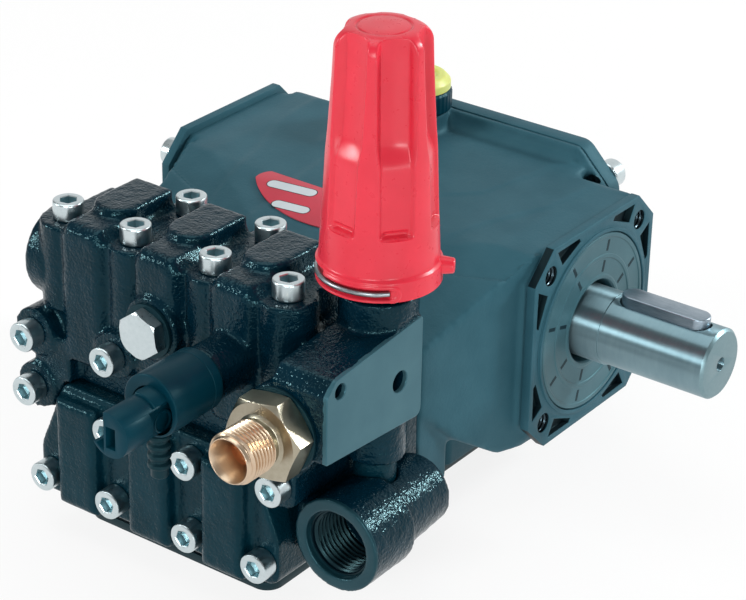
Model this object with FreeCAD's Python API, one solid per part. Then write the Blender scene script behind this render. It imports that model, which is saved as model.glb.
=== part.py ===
import FreeCAD, Part
import math
import os

from FreeCAD import Vector

# Three-cylinder plunger pump with a built-in unloader valve, in millimetres.
# The origin is the centre of the drive flange's outer face, on the crankshaft axis.
# +X runs out along the drive shaft, +Y to the rear of the crankcase, +Z up.
# The valve head is at the front, towards -Y.

# Overall layout
mid_plane_x = -76.4
cylinder_pitch = 30.0
base_level_z = -59.0
running_gap = 0.06
screw_hole_gap = 0.3
reach = 400.0
past = 1.0
seat_gap = 0.3

# Drive flange and blind side cover
flange_half = 36.3
flange_chamfer = 10.3
flange_plate_thick = 3.2
flange_hole_half = 27.0
flange_hole_r = 3.4
flange_hole_depth = 18.0
flange_pocket_depth = 2.4
flange_ring_r = 32.4
flange_ring_height = 0.8
blind_hub_r = 24.0
blind_hub_height = 2.4
blind_hub_recess_r = 18.0
blind_hub_recess_depth = 1.2
blind_hole_half = 25.6

# Shaft seal
seal_r = 31.0
seal_front_x = 0.6
seal_width = 7.0
seal_step_r = 23.0
seal_lip_r = 14.4
seal_step_depth = 0.3
seal_rim = 2.0
seal_inner_rim = 1.2

# Crankshaft and key
journal_r = 12.5
journal_end_x = 9.5
journal_depth = 30.0
shaft_r = 12.0
shaft_end_x = 48.8
shaft_chamfer = 1.0
shaft_centre_hole_r = 2.4
shaft_centre_hole_depth = 12.0
key_width = 8.0
key_height = 7.0
key_top_z = 15.0
key_start_x = 11.5
key_length = 32.0
keyway_end_gap = 0.8

# Crankcase
case_collar_length = 8.0
case_collar_inset = 1.0
case_top_z = 36.5
case_bottom_z = -43.0
case_rear_y = 38.0
case_front_y = -78.0
case_front_top_z = 31.0
case_front_bottom_z = -6.5
case_knee_y = -36.0
case_belly_y = -29.0
case_belly_r = 20.0
case_throat_y = -61.0
case_throat_z = -22.3
case_throat_bottom_z = -38.0
case_throat_edge_r = 3.0
case_rear_bottom_r = 8.0
case_side_inset = 4.5
case_side_rear_y = 35.0
case_corner_y = 26.0
case_corner_half = 50.0
case_corner_fall = 0.64
case_side_front_y = -31.0
case_side_r = 6.0
case_front_half = 62.0
case_throat_half = 61.6
case_shoulder_inset = 12.4
case_shoulder_drop = 1.6
case_sill_z = -36.0
case_sill_inset = 14.0
case_slope_across = 0.229
case_slope_along = 0.449
case_chin_across = 0.54
case_chin_along = 0.235
case_chin_inset = 8.0
case_chin_y = -30.0
case_chin_z = -37.3
rear_joint_half = 58.2
rear_joint_flat_half = 45.5
rear_joint_top_z = 42.0
rear_joint_side_z = 29.0
rear_joint_r = 6.5
rear_lip_thick = 2.4
rear_cove_r = 5.0
ear_half = 52.0
ear_z = 29.6
foot_outer_half = 40.8
foot_width = 16.0
foot_front_y = -30.0
foot_depth = 20.0
foot_rear_y = 34.0
foot_corner_r = 3.0

# Rear cover, sight glass and drain plug
rear_cover_thick = 6.0
rear_dome_half_x = 38.0
rear_dome_half_z = 27.5
rear_dome_height = 7.0
rear_dome_corner_r = 12.0
rear_dome_edge_r = 3.0
sight_glass_z = -4.0
sight_glass_r = 11.0
sight_lens_r = 7.5
sight_glass_height = 4.0
sight_rim = 2.0
sight_tail = 4.0
sight_dish = 1.6
drain_plug_z = -35.5
drain_plug_flats = 11.0
drain_plug_height = 5.0
drain_plug_rim = 1.5
drain_plug_tail = 4.5

# Oil filler
filler_x = -91.8
filler_y = 26.9
filler_boss_r = 10.6
filler_boss_top_z = 44.0
filler_collar_r = 12.0
filler_collar_height = 7.6
filler_cap_r = 11.4
filler_cap_height = 5.0
filler_cap_edge_r = 2.4

# Rating plate
plate_thick = 0.4
plate_half = 30.5
plate_back_y = -36.2
plate_side_y = -42.0
plate_tip = 2.4
plate_tip_y = -38.2
plate_front_y = -56.6

# Socket screws, one size all over the pump
screw_r = 3.0
screw_head_r = 5.0
screw_head_h = 6.0
screw_socket_flats = 5.0
screw_socket_depth = 3.0
screw_shank = 12.0
screw_rim = 0.5
screw_hole_spare = 2.0
screw_relief_gap = 0.6
screw_relief_l = 12.0

# Pump head
head_half = 49.0
head_front_y = -128.0
head_back_y = -96.0
head_split_z = -5.0
head_seat_z = 47.6
head_neck_half = 50.0
head_plate_y = -85.0
head_neck_top_z = 24.0
head_neck_bottom_z = -42.0
column_half_outer = 43.95
column_half_inner = 15.95
column_r = 9.2
column_y = -121.6
rear_screw_y = -95.0
column_foot_z = 18.0
ridge_half = 9.2
ridge_front_y = -132.5
ridge_foot_z = 4.0
ridge_top_z = 51.6
ridge_edge_r = 4.0
ridge_flank = 3.0
pad_half = 7.8
pad_height = 2.7
pad_front_y = -121.0
pad_rear_y = -96.5
seat_y = -133.6
ear_screw_half = 50.0
ear_screw_z = 9.75
inner_screw_z = 12.3
ear_boss_r = 7.9
ear_web_half = 51.2
bridge_inset = 2.0
ear_web_inner_half = 36.0
ear_web_front_y = -132.4
ear_web_bottom_z = -16.0
gallery_reach = 6.6
gallery_y = -115.9
gallery_z = 31.8
gallery_r = 15.2
gallery_edge_r = 1.5
gallery_plug_r = 9.0
gallery_plug_h = 2.5
gallery_plug_flats = 8.0
gallery_plug_depth = 6.0
gallery_x = mid_plane_x - head_half - gallery_reach

# Suction cover below the head
cover_half = 49.2
cover_top_half = 38.5
cover_top_z = -5.5
cover_shoulder_z = -31.0
cover_bottom_z = -47.5
cover_front_y = -133.3
cover_rear_y = -112.0
cover_row_low_z = -39.6
cover_row_high_z = -13.3
cover_rib_half = 8.4
cover_rib_front_y = -138.2
cover_rib_edge_r = 2.5
cover_rib_drop = 3.0
cover_corner_r = 4.0

# Suction port
port_x = -8.3
port_z = -26.4
port_front_y = -129.2
port_boss_length = 20.5
port_boss_r = 15.4
port_rear_y = -85.4
port_rear_r = 11.8
port_waist_r = 13.2
port_thread_r = 9.4
port_thread_depth = 16.0
port_recess_r = 11.3
port_recess_depth = 2.6
port_arm_top_z = -18.0
port_arm_bottom_z = -38.5
port_arm_front_y = -125.0
port_arm_rear_y = -88.0
port_arm_edge_r = 5.0
port_riser_r = 9.6
port_riser_top_z = -16.0

# Unloader valve
valve_face_x = 0.0
valve_x = -12.1
valve_y = -104.4
block_front_y = -145.0
block_rear_y = -98.0
block_inner_x = -20.5
valve_rear_gap = 6.4
block_low_front_z = 11.8
block_low_rear_z = 8.4
block_top_rear_z = 42.2
block_top_front_z = 38.2
block_top_corner_y = -141.0
block_nose_z = 34.0
neck_r = 12.3
neck_top_z = 50.0
stem_r = 9.0
stem_top_z = 62.0
spindle_r = 6.0
spindle_top_z = 118.0
spindle_sunk = 10.0
valve_barrel_r = 9.3
valve_barrel_bottom_z = -6.0
bottom_plug_r = 6.7
face_hole_small_r = 2.7
face_hole_small_y = -138.6
face_hole_small_z = 34.0
face_hole_large_r = 3.6
face_hole_large_y = -109.2
face_hole_large_z = 24.4
face_hole_depth = 9.0

# Outlet nipple
outlet_x = -17.1
outlet_z = 18.5
outlet_boss_r = 14.0
nipple_hex_flats = 24.4
nipple_hex_h = 8.0
nipple_hex_turn = 8.0
nipple_tip = 1.2
nipple_thread_r = 8.33
nipple_end_y = -168.8
nipple_relief_r = 7.4
nipple_relief_w = 2.4
nipple_cone_r = 6.9
nipple_cone_depth = 6.5
nipple_bore_r = 4.0
nipple_ring_r = 13.6
nipple_ring_h = 1.2
nipple_tail_r = 7.4
nipple_tail_l = 8.0

# Gauge port plug
gauge_x = mid_plane_x
gauge_z = 26.9
gauge_front_y = -140.0
gauge_hex_flats = 14.2
gauge_hex_h = 4.4
gauge_hex_turn = 20.0
gauge_washer_r = 9.0
gauge_washer_h = 1.4
gauge_seat_rim = 1.5
gauge_tail_r = 4.8
gauge_tail_l = 7.0

# Pressure switch
switch_x = -46.4
switch_z = 26.2
switch_boss_r = 9.0
switch_boss_front_y = -147.0
sleeve_r = 10.1
sleeve_front_y = -168.5
sleeve_wall = 1.2
sleeve_recess = 7.0
connector_x = -45.8
connector_z = 25.0
connector_r = 7.2
connector_front_y = -187.0
connector_cut_x = -47.9
connector_lip_z = 21.2
connector_lip_thick = 1.0
connector_slot_x = -43.5
connector_slot_wall = 0.8
connector_slot_low_z = 20.6
connector_slot_high_z = 27.6
connector_slot_l = 9.0
grommet_y = -165.0
grommet_r = 3.6
grommet_rings = 3
grommet_pitch = 3.2
grommet_ring_h = 1.92
grommet_groove = 0.8
grommet_end = 1.0
grommet_drop = 15.0

# Unloader knob and its wire clip
knob_bottom_z = 54.5
knob_collar_r = 18.9
knob_collar_h = 6.7
knob_base_r = 18.0
knob_waist_z = 95.0
knob_waist_r = 16.4
knob_top_r = 14.3
knob_top_z = 133.0
knob_crown_r = 4.5
knob_flutes = 6
knob_flute_turn = -37.0
knob_flute_width = 9.8
knob_flute_top_width = 11.4
knob_flute_depth = 1.9
knob_flute_low_z = 73.5
knob_flute_step_z = 99.0
knob_skirt_r = 14.5
knob_skirt_depth = 9.0
knob_tab_r = 2.4
knob_tab_length = 3.6
knob_tab_z = 59.0
knob_tab_turn = 30.0
clip_wire_r = 0.9
clip_ring_r = 18.3
clip_z = 57.0
clip_start = 190.0
clip_sweep = 126.0

# Base plate under the feet
base_plate_thick = 3.0
base_edge_inset = 1.9
base_front_y = -124.0
base_rear_y = 38.0
base_corner_r = 6.0
base_half = foot_outer_half - base_edge_inset
foot_screw_head_r = 5.6
foot_screw_head_h = 2.6
foot_screw_length = 10.0
foot_screw_flats = 4.0
foot_socket_depth = 2.0

blind_side_x = 2.0 * mid_plane_x
base_top_z = base_level_z + base_plate_thick
cylinder_x = [mid_plane_x + i * cylinder_pitch for i in (-1, 0, 1)]
column_x = [mid_plane_x + s * h for s in (-1, 1) for h in (column_half_outer, column_half_inner)]
inner_column_x = [mid_plane_x + s * column_half_inner for s in (-1, 1)]
flange_corners = [(y, z) for y in (-flange_hole_half, flange_hole_half)
                  for z in (-flange_hole_half, flange_hole_half)]
AXIS = {"x": Vector(1, 0, 0), "y": Vector(0, 1, 0), "z": Vector(0, 0, 1)}


def box(x0, x1, y0, y1, z0, z1):
    """A block between two corners."""
    return Part.makeBox(x1 - x0, y1 - y0, z1 - z0, Vector(x0, y0, z0))


def rod(radius, start, length, axis):
    """A cylinder that runs from start along the positive axis."""
    return Part.makeCylinder(radius, length, Vector(*start), AXIS[axis])


def tube(outer, inner, start, length, axis):
    return rod(outer, start, length, axis).cut(rod(inner, start, length, axis))


def cone(radius_0, radius_1, start, length, axis):
    return Part.makeCone(radius_0, radius_1, length, Vector(*start), AXIS[axis])


def place(axis, along, u, v):
    """A point from its place along an axis and its two other coordinates in order."""
    if axis == "x":
        return Vector(along, u, v)
    if axis == "y":
        return Vector(u, along, v)
    return Vector(u, v, along)


def prism(axis, points, start, end, corner_r=0.0):
    """An outline of (u, v) points extruded from start to end; corner_r is one radius or one for each corner."""
    count = len(points)
    radii = corner_r if isinstance(corner_r, list) else [corner_r] * count
    ends = []
    for i in range(count):
        here = place(axis, start, *points[i])
        before = place(axis, start, *points[i - 1])
        after = place(axis, start, *points[(i + 1) % count])
        if radii[i] <= 0:
            ends.append((here, here, here))
            continue
        to_before = (before - here).normalize()
        to_after = (after - here).normalize()
        half = 0.5 * to_before.getAngle(to_after)
        setback = radii[i] / math.tan(half)
        inward = (to_before + to_after).normalize()
        middle = here + inward * (radii[i] / math.sin(half) - radii[i])
        ends.append((here + to_before * setback, middle, here + to_after * setback))
    edges = []
    for i in range(count):
        if radii[i] > 0:
            edges.append(Part.Arc(*ends[i]).toShape())
        line_start = ends[i][2]
        line_end = ends[(i + 1) % count][0]
        if line_start.distanceToPoint(line_end) > 1e-6:
            edges.append(Part.LineSegment(line_start, line_end).toShape())
    face = Part.Face(Part.Wire(edges))
    return face.extrude(AXIS[axis] * (end - start))


def hexagon(axis, u, v, flats, start, end, turn=0.0):
    radius = flats / math.sqrt(3.0)
    corners = []
    for i in range(6):
        angle = math.radians(60.0 * i + turn)
        corners.append((u + radius * math.cos(angle), v + radius * math.sin(angle)))
    return prism(axis, corners, start, end)


def octagon(axis_start, axis_end, half, chamfer):
    """The flange outline in the Y-Z plane, extruded along X."""
    cut = half - chamfer
    corners = [(cut, -half), (half, -cut), (half, cut), (cut, half),
               (-cut, half), (-half, cut), (-half, -cut), (-cut, -half)]
    return prism("x", corners, axis_start, axis_end)


def fuse(shapes):
    result = shapes[0]
    if len(shapes) > 1:
        result = result.multiFuse(shapes[1:])
    return result.removeSplitter()


def cut_all(shape, tools):
    return shape.cut(fuse_tools(tools)).removeSplitter()


def fuse_tools(tools):
    if len(tools) == 1:
        return tools[0]
    return tools[0].multiFuse(tools[1:])


def make_many(shapes):
    return Part.makeCompound(shapes)


def round_edges(shape, radius, wanted):
    """Fillets the edges for which wanted(edge) is true."""
    edges = [edge for edge in shape.Edges if wanted(edge)]
    return shape.makeFillet(radius, edges)


def runs_along(edge, axis):
    if edge.Curve.TypeId != "Part::GeomLine":
        return False
    first, last = edge.Vertexes[0].Point, edge.Vertexes[-1].Point
    return abs(abs((last - first).normalize().dot(AXIS[axis])) - 1.0) < 1e-4


def screw(point, direction):
    """A socket screw whose head seats at point; its shank runs against direction."""
    way = Vector(*direction)
    head = Part.makeCylinder(screw_head_r, screw_head_h, Vector(*point), way)
    rim = [e for e in head.Edges
           if e.Curve.TypeId == "Part::GeomCircle"
           and (e.Curve.Center - Vector(*point)).dot(way) > screw_head_h / 2]
    head = head.makeChamfer(screw_rim, rim)
    shank = Part.makeCylinder(screw_r, screw_shank, Vector(*point), way * -1.0)
    body = head.fuse(shank).removeSplitter()
    socket = hexagon("z", 0, 0, screw_socket_flats, -screw_socket_depth, past)
    turn = FreeCAD.Rotation(AXIS["z"], way)
    socket.Placement = FreeCAD.Placement(Vector(*point) + way * screw_head_h, turn)
    return body.cut(socket)


def screw_hole(point, direction):
    """The hole that a screw's shank stands in."""
    way = Vector(*direction)
    depth = screw_shank + screw_hole_spare
    return Part.makeCylinder(screw_r + screw_hole_gap, depth + past, Vector(*point) + way * past, way * -1.0)


def seat_relief(point, direction, length):
    """A clear pocket above a screw seat."""
    return Part.makeCylinder(screw_head_r + screw_relief_gap, length, Vector(*point), Vector(*direction))


# Places of the screws
top_seats = [(x, column_y, head_seat_z) for x in column_x]
top_seats += [(x, rear_screw_y, head_seat_z) for x in inner_column_x]
fixing_seats = [(mid_plane_x + s * ear_screw_half, seat_y, t * ear_screw_z)
                for s in (-1, 1) for t in (-1, 1)]
fixing_seats += [(x, seat_y, inner_screw_z) for x in inner_column_x]
cover_seats = [(x, cover_front_y, cover_row_low_z) for x in column_x]
cover_seats += [(x, cover_front_y, cover_row_high_z) for x in inner_column_x]
rear_seats = [(mid_plane_x + s * ear_half, case_rear_y + rear_cover_thick, t * ear_z)
              for s in (-1, 1) for t in (-1, 1)]
blind_seats = [(blind_side_x - flange_plate_thick, s * blind_hole_half, t * blind_hole_half)
               for s in (-1, 1) for t in (-1, 1)]
foot_x = [mid_plane_x + s * (foot_outer_half - foot_width / 2) for s in (-1, 1)]
foot_y = [foot_front_y + foot_depth / 2, foot_rear_y - foot_depth / 2]
UP = (0, 0, 1)
FRONT = (0, -1, 0)
REAR = (0, 1, 0)
LEFT = (-1, 0, 0)


def even_outline(right_side):
    """Closes a right-hand outline of (offset from the mid-plane, v) points with its mirror image."""
    right = [(mid_plane_x + u, v) for u, v in right_side]
    left = [(mid_plane_x - u, v) for u, v in reversed(right_side)]
    return right + left


def rear_outline(start_y, end_y):
    """The rear joint's outline: a wide plate with its four corners cut off and rounded."""
    corners = even_outline([(rear_joint_flat_half, case_bottom_z), (rear_joint_half, -rear_joint_side_z),
                            (rear_joint_half, rear_joint_side_z), (rear_joint_flat_half, rear_joint_top_z)])
    return prism("y", corners, start_y, end_y, rear_joint_r)


def room_beyond(side, inset, y, z, normal):
    """A large block beyond a plane through the point inset from one side's flange face."""
    corner = Vector(mid_plane_x + side * (-mid_plane_x - inset), y, z)
    half = -3.0 * mid_plane_x
    room = Part.makeBox(2 * half, 2 * half, half, Vector(-half, -half, 0))
    room.Placement = FreeCAD.Placement(corner, FreeCAD.Rotation(AXIS["z"], Vector(*normal)))
    return room


def shoulder_cutter(side):
    """The room above the sloping shoulder that runs from the flange down to the head."""
    return room_beyond(side, case_side_inset, case_side_front_y, case_top_z - case_shoulder_drop,
                       (side * case_slope_across, -case_slope_along, 1.0))


def chin_cutter(side):
    """The room under the belly's corner beside the flange."""
    return room_beyond(side, case_chin_inset, case_chin_y, case_chin_z,
                       (side * case_chin_across, -case_chin_along, -1.0))


def rear_corner_cutter(side):
    """The room above a rear corner, where the top falls away behind the flange."""
    end_y = case_rear_y + past
    points = [(case_corner_y, case_top_z), (end_y, case_top_z - case_corner_fall * (end_y - case_corner_y)),
              (end_y, case_top_z + past), (case_corner_y, case_top_z + past)]
    ends = sorted([mid_plane_x + side * case_corner_half, mid_plane_x - 2.0 * side * mid_plane_x])
    return prism("x", points, ends[0], ends[1])


def make_crankcase():
    side_half = -mid_plane_x - case_side_inset
    side = [(case_rear_y, case_bottom_z), (case_rear_y, case_top_z), (case_knee_y, case_top_z),
            (case_front_y, case_front_top_z), (case_front_y, case_front_bottom_z),
            (case_throat_y, case_throat_z), (case_belly_y, case_bottom_z)]
    body = prism("x", side, mid_plane_x - side_half, mid_plane_x + side_half,
                 [case_rear_bottom_r, 0, 0, 0, 0, 0, case_belly_r])
    plan = even_outline([(case_front_half, case_front_y), (side_half, case_side_front_y),
                         (side_half, case_side_rear_y), (rear_joint_half, case_rear_y)])
    body = body.common(prism("z", plan, case_bottom_z - past, case_top_z + past,
                             [0, case_side_r, case_side_r, 0, 0, case_side_r, case_side_r, 0]))
    front = even_outline([(side_half - case_sill_inset, case_bottom_z), (side_half, case_sill_z),
                          (side_half, case_top_z - case_shoulder_drop),
                          (side_half - case_shoulder_inset, case_top_z)])
    body = body.common(prism("y", front, case_front_y - past, case_rear_y + past,
                             [case_side_r, case_side_r, 0, 0, 0, 0, case_side_r, case_side_r]))
    for side_sign in (-1, 1):
        body = body.cut(shoulder_cutter(side_sign)).cut(chin_cutter(side_sign))
        body = body.cut(rear_corner_cutter(side_sign))
    throat = box(mid_plane_x - case_throat_half, mid_plane_x + case_throat_half, case_front_y, case_throat_y,
                 case_throat_bottom_z, case_front_bottom_z + case_throat_edge_r)
    throat = round_edges(throat, case_throat_edge_r, lambda e: e.CenterOfMass.z < case_throat_bottom_z + 0.01
                         and runs_along(e, "x"))
    collar_half = flange_half - case_collar_inset
    cove_y = case_rear_y - rear_lip_thick - rear_cove_r
    cove = box(mid_plane_x - rear_joint_flat_half, mid_plane_x + rear_joint_flat_half,
               cove_y, case_rear_y - rear_lip_thick, case_top_z - past, case_top_z + rear_cove_r)
    cove = cove.cut(rod(rear_cove_r, (mid_plane_x - rear_joint_flat_half, cove_y, case_top_z + rear_cove_r),
                        2 * rear_joint_flat_half, "x"))
    pieces = [body, cove, throat,
              octagon(-flange_plate_thick - case_collar_length, -flange_plate_thick, collar_half, flange_chamfer),
              octagon(blind_side_x, blind_side_x + case_collar_length, collar_half, flange_chamfer),
              rear_outline(case_rear_y - rear_lip_thick, case_rear_y),
              rod(filler_boss_r, (filler_x, filler_y, case_top_z - past),
                  filler_boss_top_z - case_top_z + past, "z")]
    case = fuse(pieces)
    tools = [rod(journal_r + running_gap, (-journal_depth - seat_gap, 0, 0), journal_depth, "x"),
             rod(seal_r + running_gap, (seal_front_x - seal_width, 0, 0), seal_width, "x")]
    for y, z in flange_corners:
        tools.append(rod(flange_hole_r, (-flange_hole_depth, y, z), flange_hole_depth, "x"))
    for point in blind_seats:
        tools.append(screw_hole(point, LEFT))
    for point in rear_seats:
        tools.append(screw_hole(point, REAR))
    return cut_all(case, tools)


def make_feet():
    """Four feet between the crankcase's floor and the base plate."""
    feet = []
    for x in foot_x:
        for y in foot_y:
            foot = box(x - foot_width / 2, x + foot_width / 2,
                       y - foot_depth / 2, y + foot_depth / 2, base_top_z, case_bottom_z)
            foot = round_edges(foot, foot_corner_r, lambda e: runs_along(e, "z"))
            feet.append(foot.cut(rod(screw_r + screw_hole_gap, (x, y, base_top_z - past), screw_shank, "z")))
    return make_many(feet)


def make_drive_flange():
    plate = octagon(-flange_plate_thick, 0.0, flange_half, flange_chamfer)
    plate = plate.fuse(rod(flange_ring_r, (-past, 0, 0), past + flange_ring_height, "x"))
    tools = [rod(seal_r + running_gap, (-flange_plate_thick - past, 0, 0), reach, "x")]
    for y, z in flange_corners:
        tools.append(rod(flange_hole_r, (-flange_plate_thick - past, y, z), reach, "x"))
    wedge = [(9.9, 32.9), (10.9, 34.2), (23.6, 34.0), (20.4, 28.4)]
    for flip_y in (-1, 1):
        for flip_z in (-1, 1):
            for swap in (False, True):
                points = [(v, u) if swap else (u, v) for u, v in wedge]
                points = [(flip_y * u, flip_z * v) for u, v in points]
                tools.append(prism("x", points, -flange_pocket_depth, past))
    return cut_all(plate, tools)


def make_shaft_seal():
    back_x = seal_front_x - seal_width
    ring = rod(seal_r, (back_x, 0, 0), seal_width, "x")
    tools = [rod(journal_r + running_gap, (back_x - past, 0, 0), reach, "x"),
             tube(seal_r - seal_rim, seal_step_r, (seal_front_x - seal_step_depth, 0, 0), past, "x"),
             tube(seal_step_r - seal_inner_rim, seal_lip_r, (seal_front_x - 2 * seal_step_depth, 0, 0),
                  2 * seal_step_depth + past, "x")]
    return cut_all(ring, tools)


def make_crankshaft():
    journal = rod(journal_r, (-journal_depth, 0, 0), journal_depth + journal_end_x, "x")
    shaft = rod(shaft_r, (0, 0, 0), shaft_end_x - shaft_chamfer, "x")
    tip = cone(shaft_r, shaft_r - shaft_chamfer, (shaft_end_x - shaft_chamfer, 0, 0), shaft_chamfer, "x")
    body = fuse([journal, shaft, tip])
    hole = rod(shaft_centre_hole_r, (shaft_end_x - shaft_centre_hole_depth, 0, 0), reach, "x")
    keyway = key_slot(key_width / 2, keyway_end_gap, key_top_z - key_height, shaft_r + past)
    return cut_all(body, [hole, keyway])


def key_slot(half, spare, low_z, high_z):
    """A straight slot or key with round ends on the shaft's top."""
    start = key_start_x + half - spare
    end = key_start_x + key_length - half + spare
    height = high_z - low_z
    bar = box(start, end, -half, half, low_z, high_z)
    ends = [rod(half, (x, 0, low_z), height, "z") for x in (start, end)]
    return fuse([bar] + ends)


def make_shaft_key():
    return key_slot(key_width / 2, 0.0, key_top_z - key_height, key_top_z)


def make_blind_cover():
    outer_x = blind_side_x - flange_plate_thick
    plate = octagon(outer_x, blind_side_x, flange_half, flange_chamfer)
    hub = rod(blind_hub_r, (outer_x - blind_hub_height, 0, 0), blind_hub_height + past, "x")
    recess = rod(blind_hub_recess_r, (outer_x - blind_hub_height - past, 0, 0),
                 past + blind_hub_recess_depth, "x")
    return cut_all(fuse([plate, hub]), [recess] + [screw_hole(p, LEFT) for p in blind_seats])


def make_rear_cover():
    outer_y = case_rear_y + rear_cover_thick
    plate = rear_outline(case_rear_y, outer_y)
    corners = [(mid_plane_x - rear_dome_half_x, -rear_dome_half_z),
               (mid_plane_x + rear_dome_half_x, -rear_dome_half_z),
               (mid_plane_x + rear_dome_half_x, rear_dome_half_z),
               (mid_plane_x - rear_dome_half_x, rear_dome_half_z)]
    dome = prism("y", corners, outer_y - past, outer_y + rear_dome_height, rear_dome_corner_r)
    top_y = outer_y + rear_dome_height
    dome = round_edges(dome, rear_dome_edge_r, lambda e: abs(e.CenterOfMass.y - top_y) < 0.01)
    cover = fuse([plate, dome])
    tools = [screw_hole(p, REAR) for p in rear_seats]
    tools.append(rod(sight_glass_r - sight_rim + running_gap, (mid_plane_x, top_y - sight_tail, sight_glass_z),
                     reach, "y"))
    tools.append(rod(screw_r + screw_hole_gap, (mid_plane_x, outer_y - drain_plug_tail - seat_gap, drain_plug_z),
                     reach, "y"))
    return cut_all(cover, tools)


def make_sight_glass():
    top_y = case_rear_y + rear_cover_thick + rear_dome_height
    ring = rod(sight_glass_r, (mid_plane_x, top_y, sight_glass_z), sight_glass_height, "y")
    tail = rod(sight_glass_r - sight_rim, (mid_plane_x, top_y - sight_tail, sight_glass_z), sight_tail + past, "y")
    dish = rod(sight_lens_r, (mid_plane_x, top_y + sight_glass_height - sight_dish, sight_glass_z), reach, "y")
    return fuse([ring, tail]).cut(dish)


def make_drain_plug():
    outer_y = case_rear_y + rear_cover_thick
    flange = rod(drain_plug_flats / 2 + drain_plug_rim, (mid_plane_x, outer_y, drain_plug_z), drain_plug_rim, "y")
    head = hexagon("y", mid_plane_x, drain_plug_z, drain_plug_flats, outer_y + drain_plug_rim,
                   outer_y + drain_plug_rim + drain_plug_height)
    tail = rod(screw_r, (mid_plane_x, outer_y - drain_plug_tail, drain_plug_z), drain_plug_tail + past, "y")
    return fuse([flange, head, tail])


def make_filler_collar():
    return rod(filler_collar_r, (filler_x, filler_y, filler_boss_top_z), filler_collar_height, "z")


def make_filler_cap():
    low = filler_boss_top_z + filler_collar_height
    cap = rod(filler_cap_r, (filler_x, filler_y, low), filler_cap_height, "z")
    return round_edges(cap, filler_cap_edge_r,
                       lambda e: abs(e.CenterOfMass.z - low - filler_cap_height) < 0.01)


def make_rating_plate():
    """A label with a straight back edge and a round front edge on the case's sloping front."""
    def spot(u, y):
        return Vector(mid_plane_x + u, y, case_front_top_z)

    tip = plate_half + plate_tip
    near_tip = plate_half + 0.8 * plate_tip
    back_right = spot(plate_half, plate_back_y)
    back_left = spot(-plate_half, plate_back_y)
    side_right = spot(tip, plate_side_y)
    side_left = spot(-tip, plate_side_y)
    edges = [Part.LineSegment(back_right, back_left).toShape(),
             Part.Arc(back_left, spot(-near_tip, plate_tip_y), side_left).toShape(),
             Part.Arc(side_left, spot(0.0, plate_front_y), side_right).toShape(),
             Part.Arc(side_right, spot(near_tip, plate_tip_y), back_right).toShape()]
    outline = Part.Face(Part.Wire(edges)).extrude(AXIS["z"] * (case_top_z - case_front_top_z + past))
    slope = [(case_knee_y, case_top_z), (case_front_y, case_front_top_z)]
    layer = slope + [(y, z + plate_thick) for y, z in reversed(slope)]
    return outline.common(prism("x", layer, mid_plane_x - tip - past, mid_plane_x + tip + past))


def make_ridge(x):
    """One cylinder's ridge: sloping flanks, a rounded front and a flat pad on top."""
    top_half = ridge_half - ridge_flank
    section = [(x - ridge_half, ridge_foot_z), (x + ridge_half, ridge_foot_z),
               (x + ridge_half, head_seat_z), (x + top_half, ridge_top_z),
               (x - top_half, ridge_top_z), (x - ridge_half, head_seat_z)]
    ridge = prism("y", section, ridge_front_y, head_back_y)
    ridge = round_edges(ridge, ridge_edge_r, lambda e: e.CenterOfMass.y < ridge_front_y + 0.01
                        and e.CenterOfMass.z > ridge_foot_z + 0.01)
    pad = box(x - pad_half, x + pad_half, pad_front_y + pad_half, pad_rear_y,
              ridge_top_z - past, ridge_top_z + pad_height)
    nose = rod(pad_half, (x, pad_front_y + pad_half, ridge_top_z - past), pad_height + past, "z")
    return [ridge, pad, nose]


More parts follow.
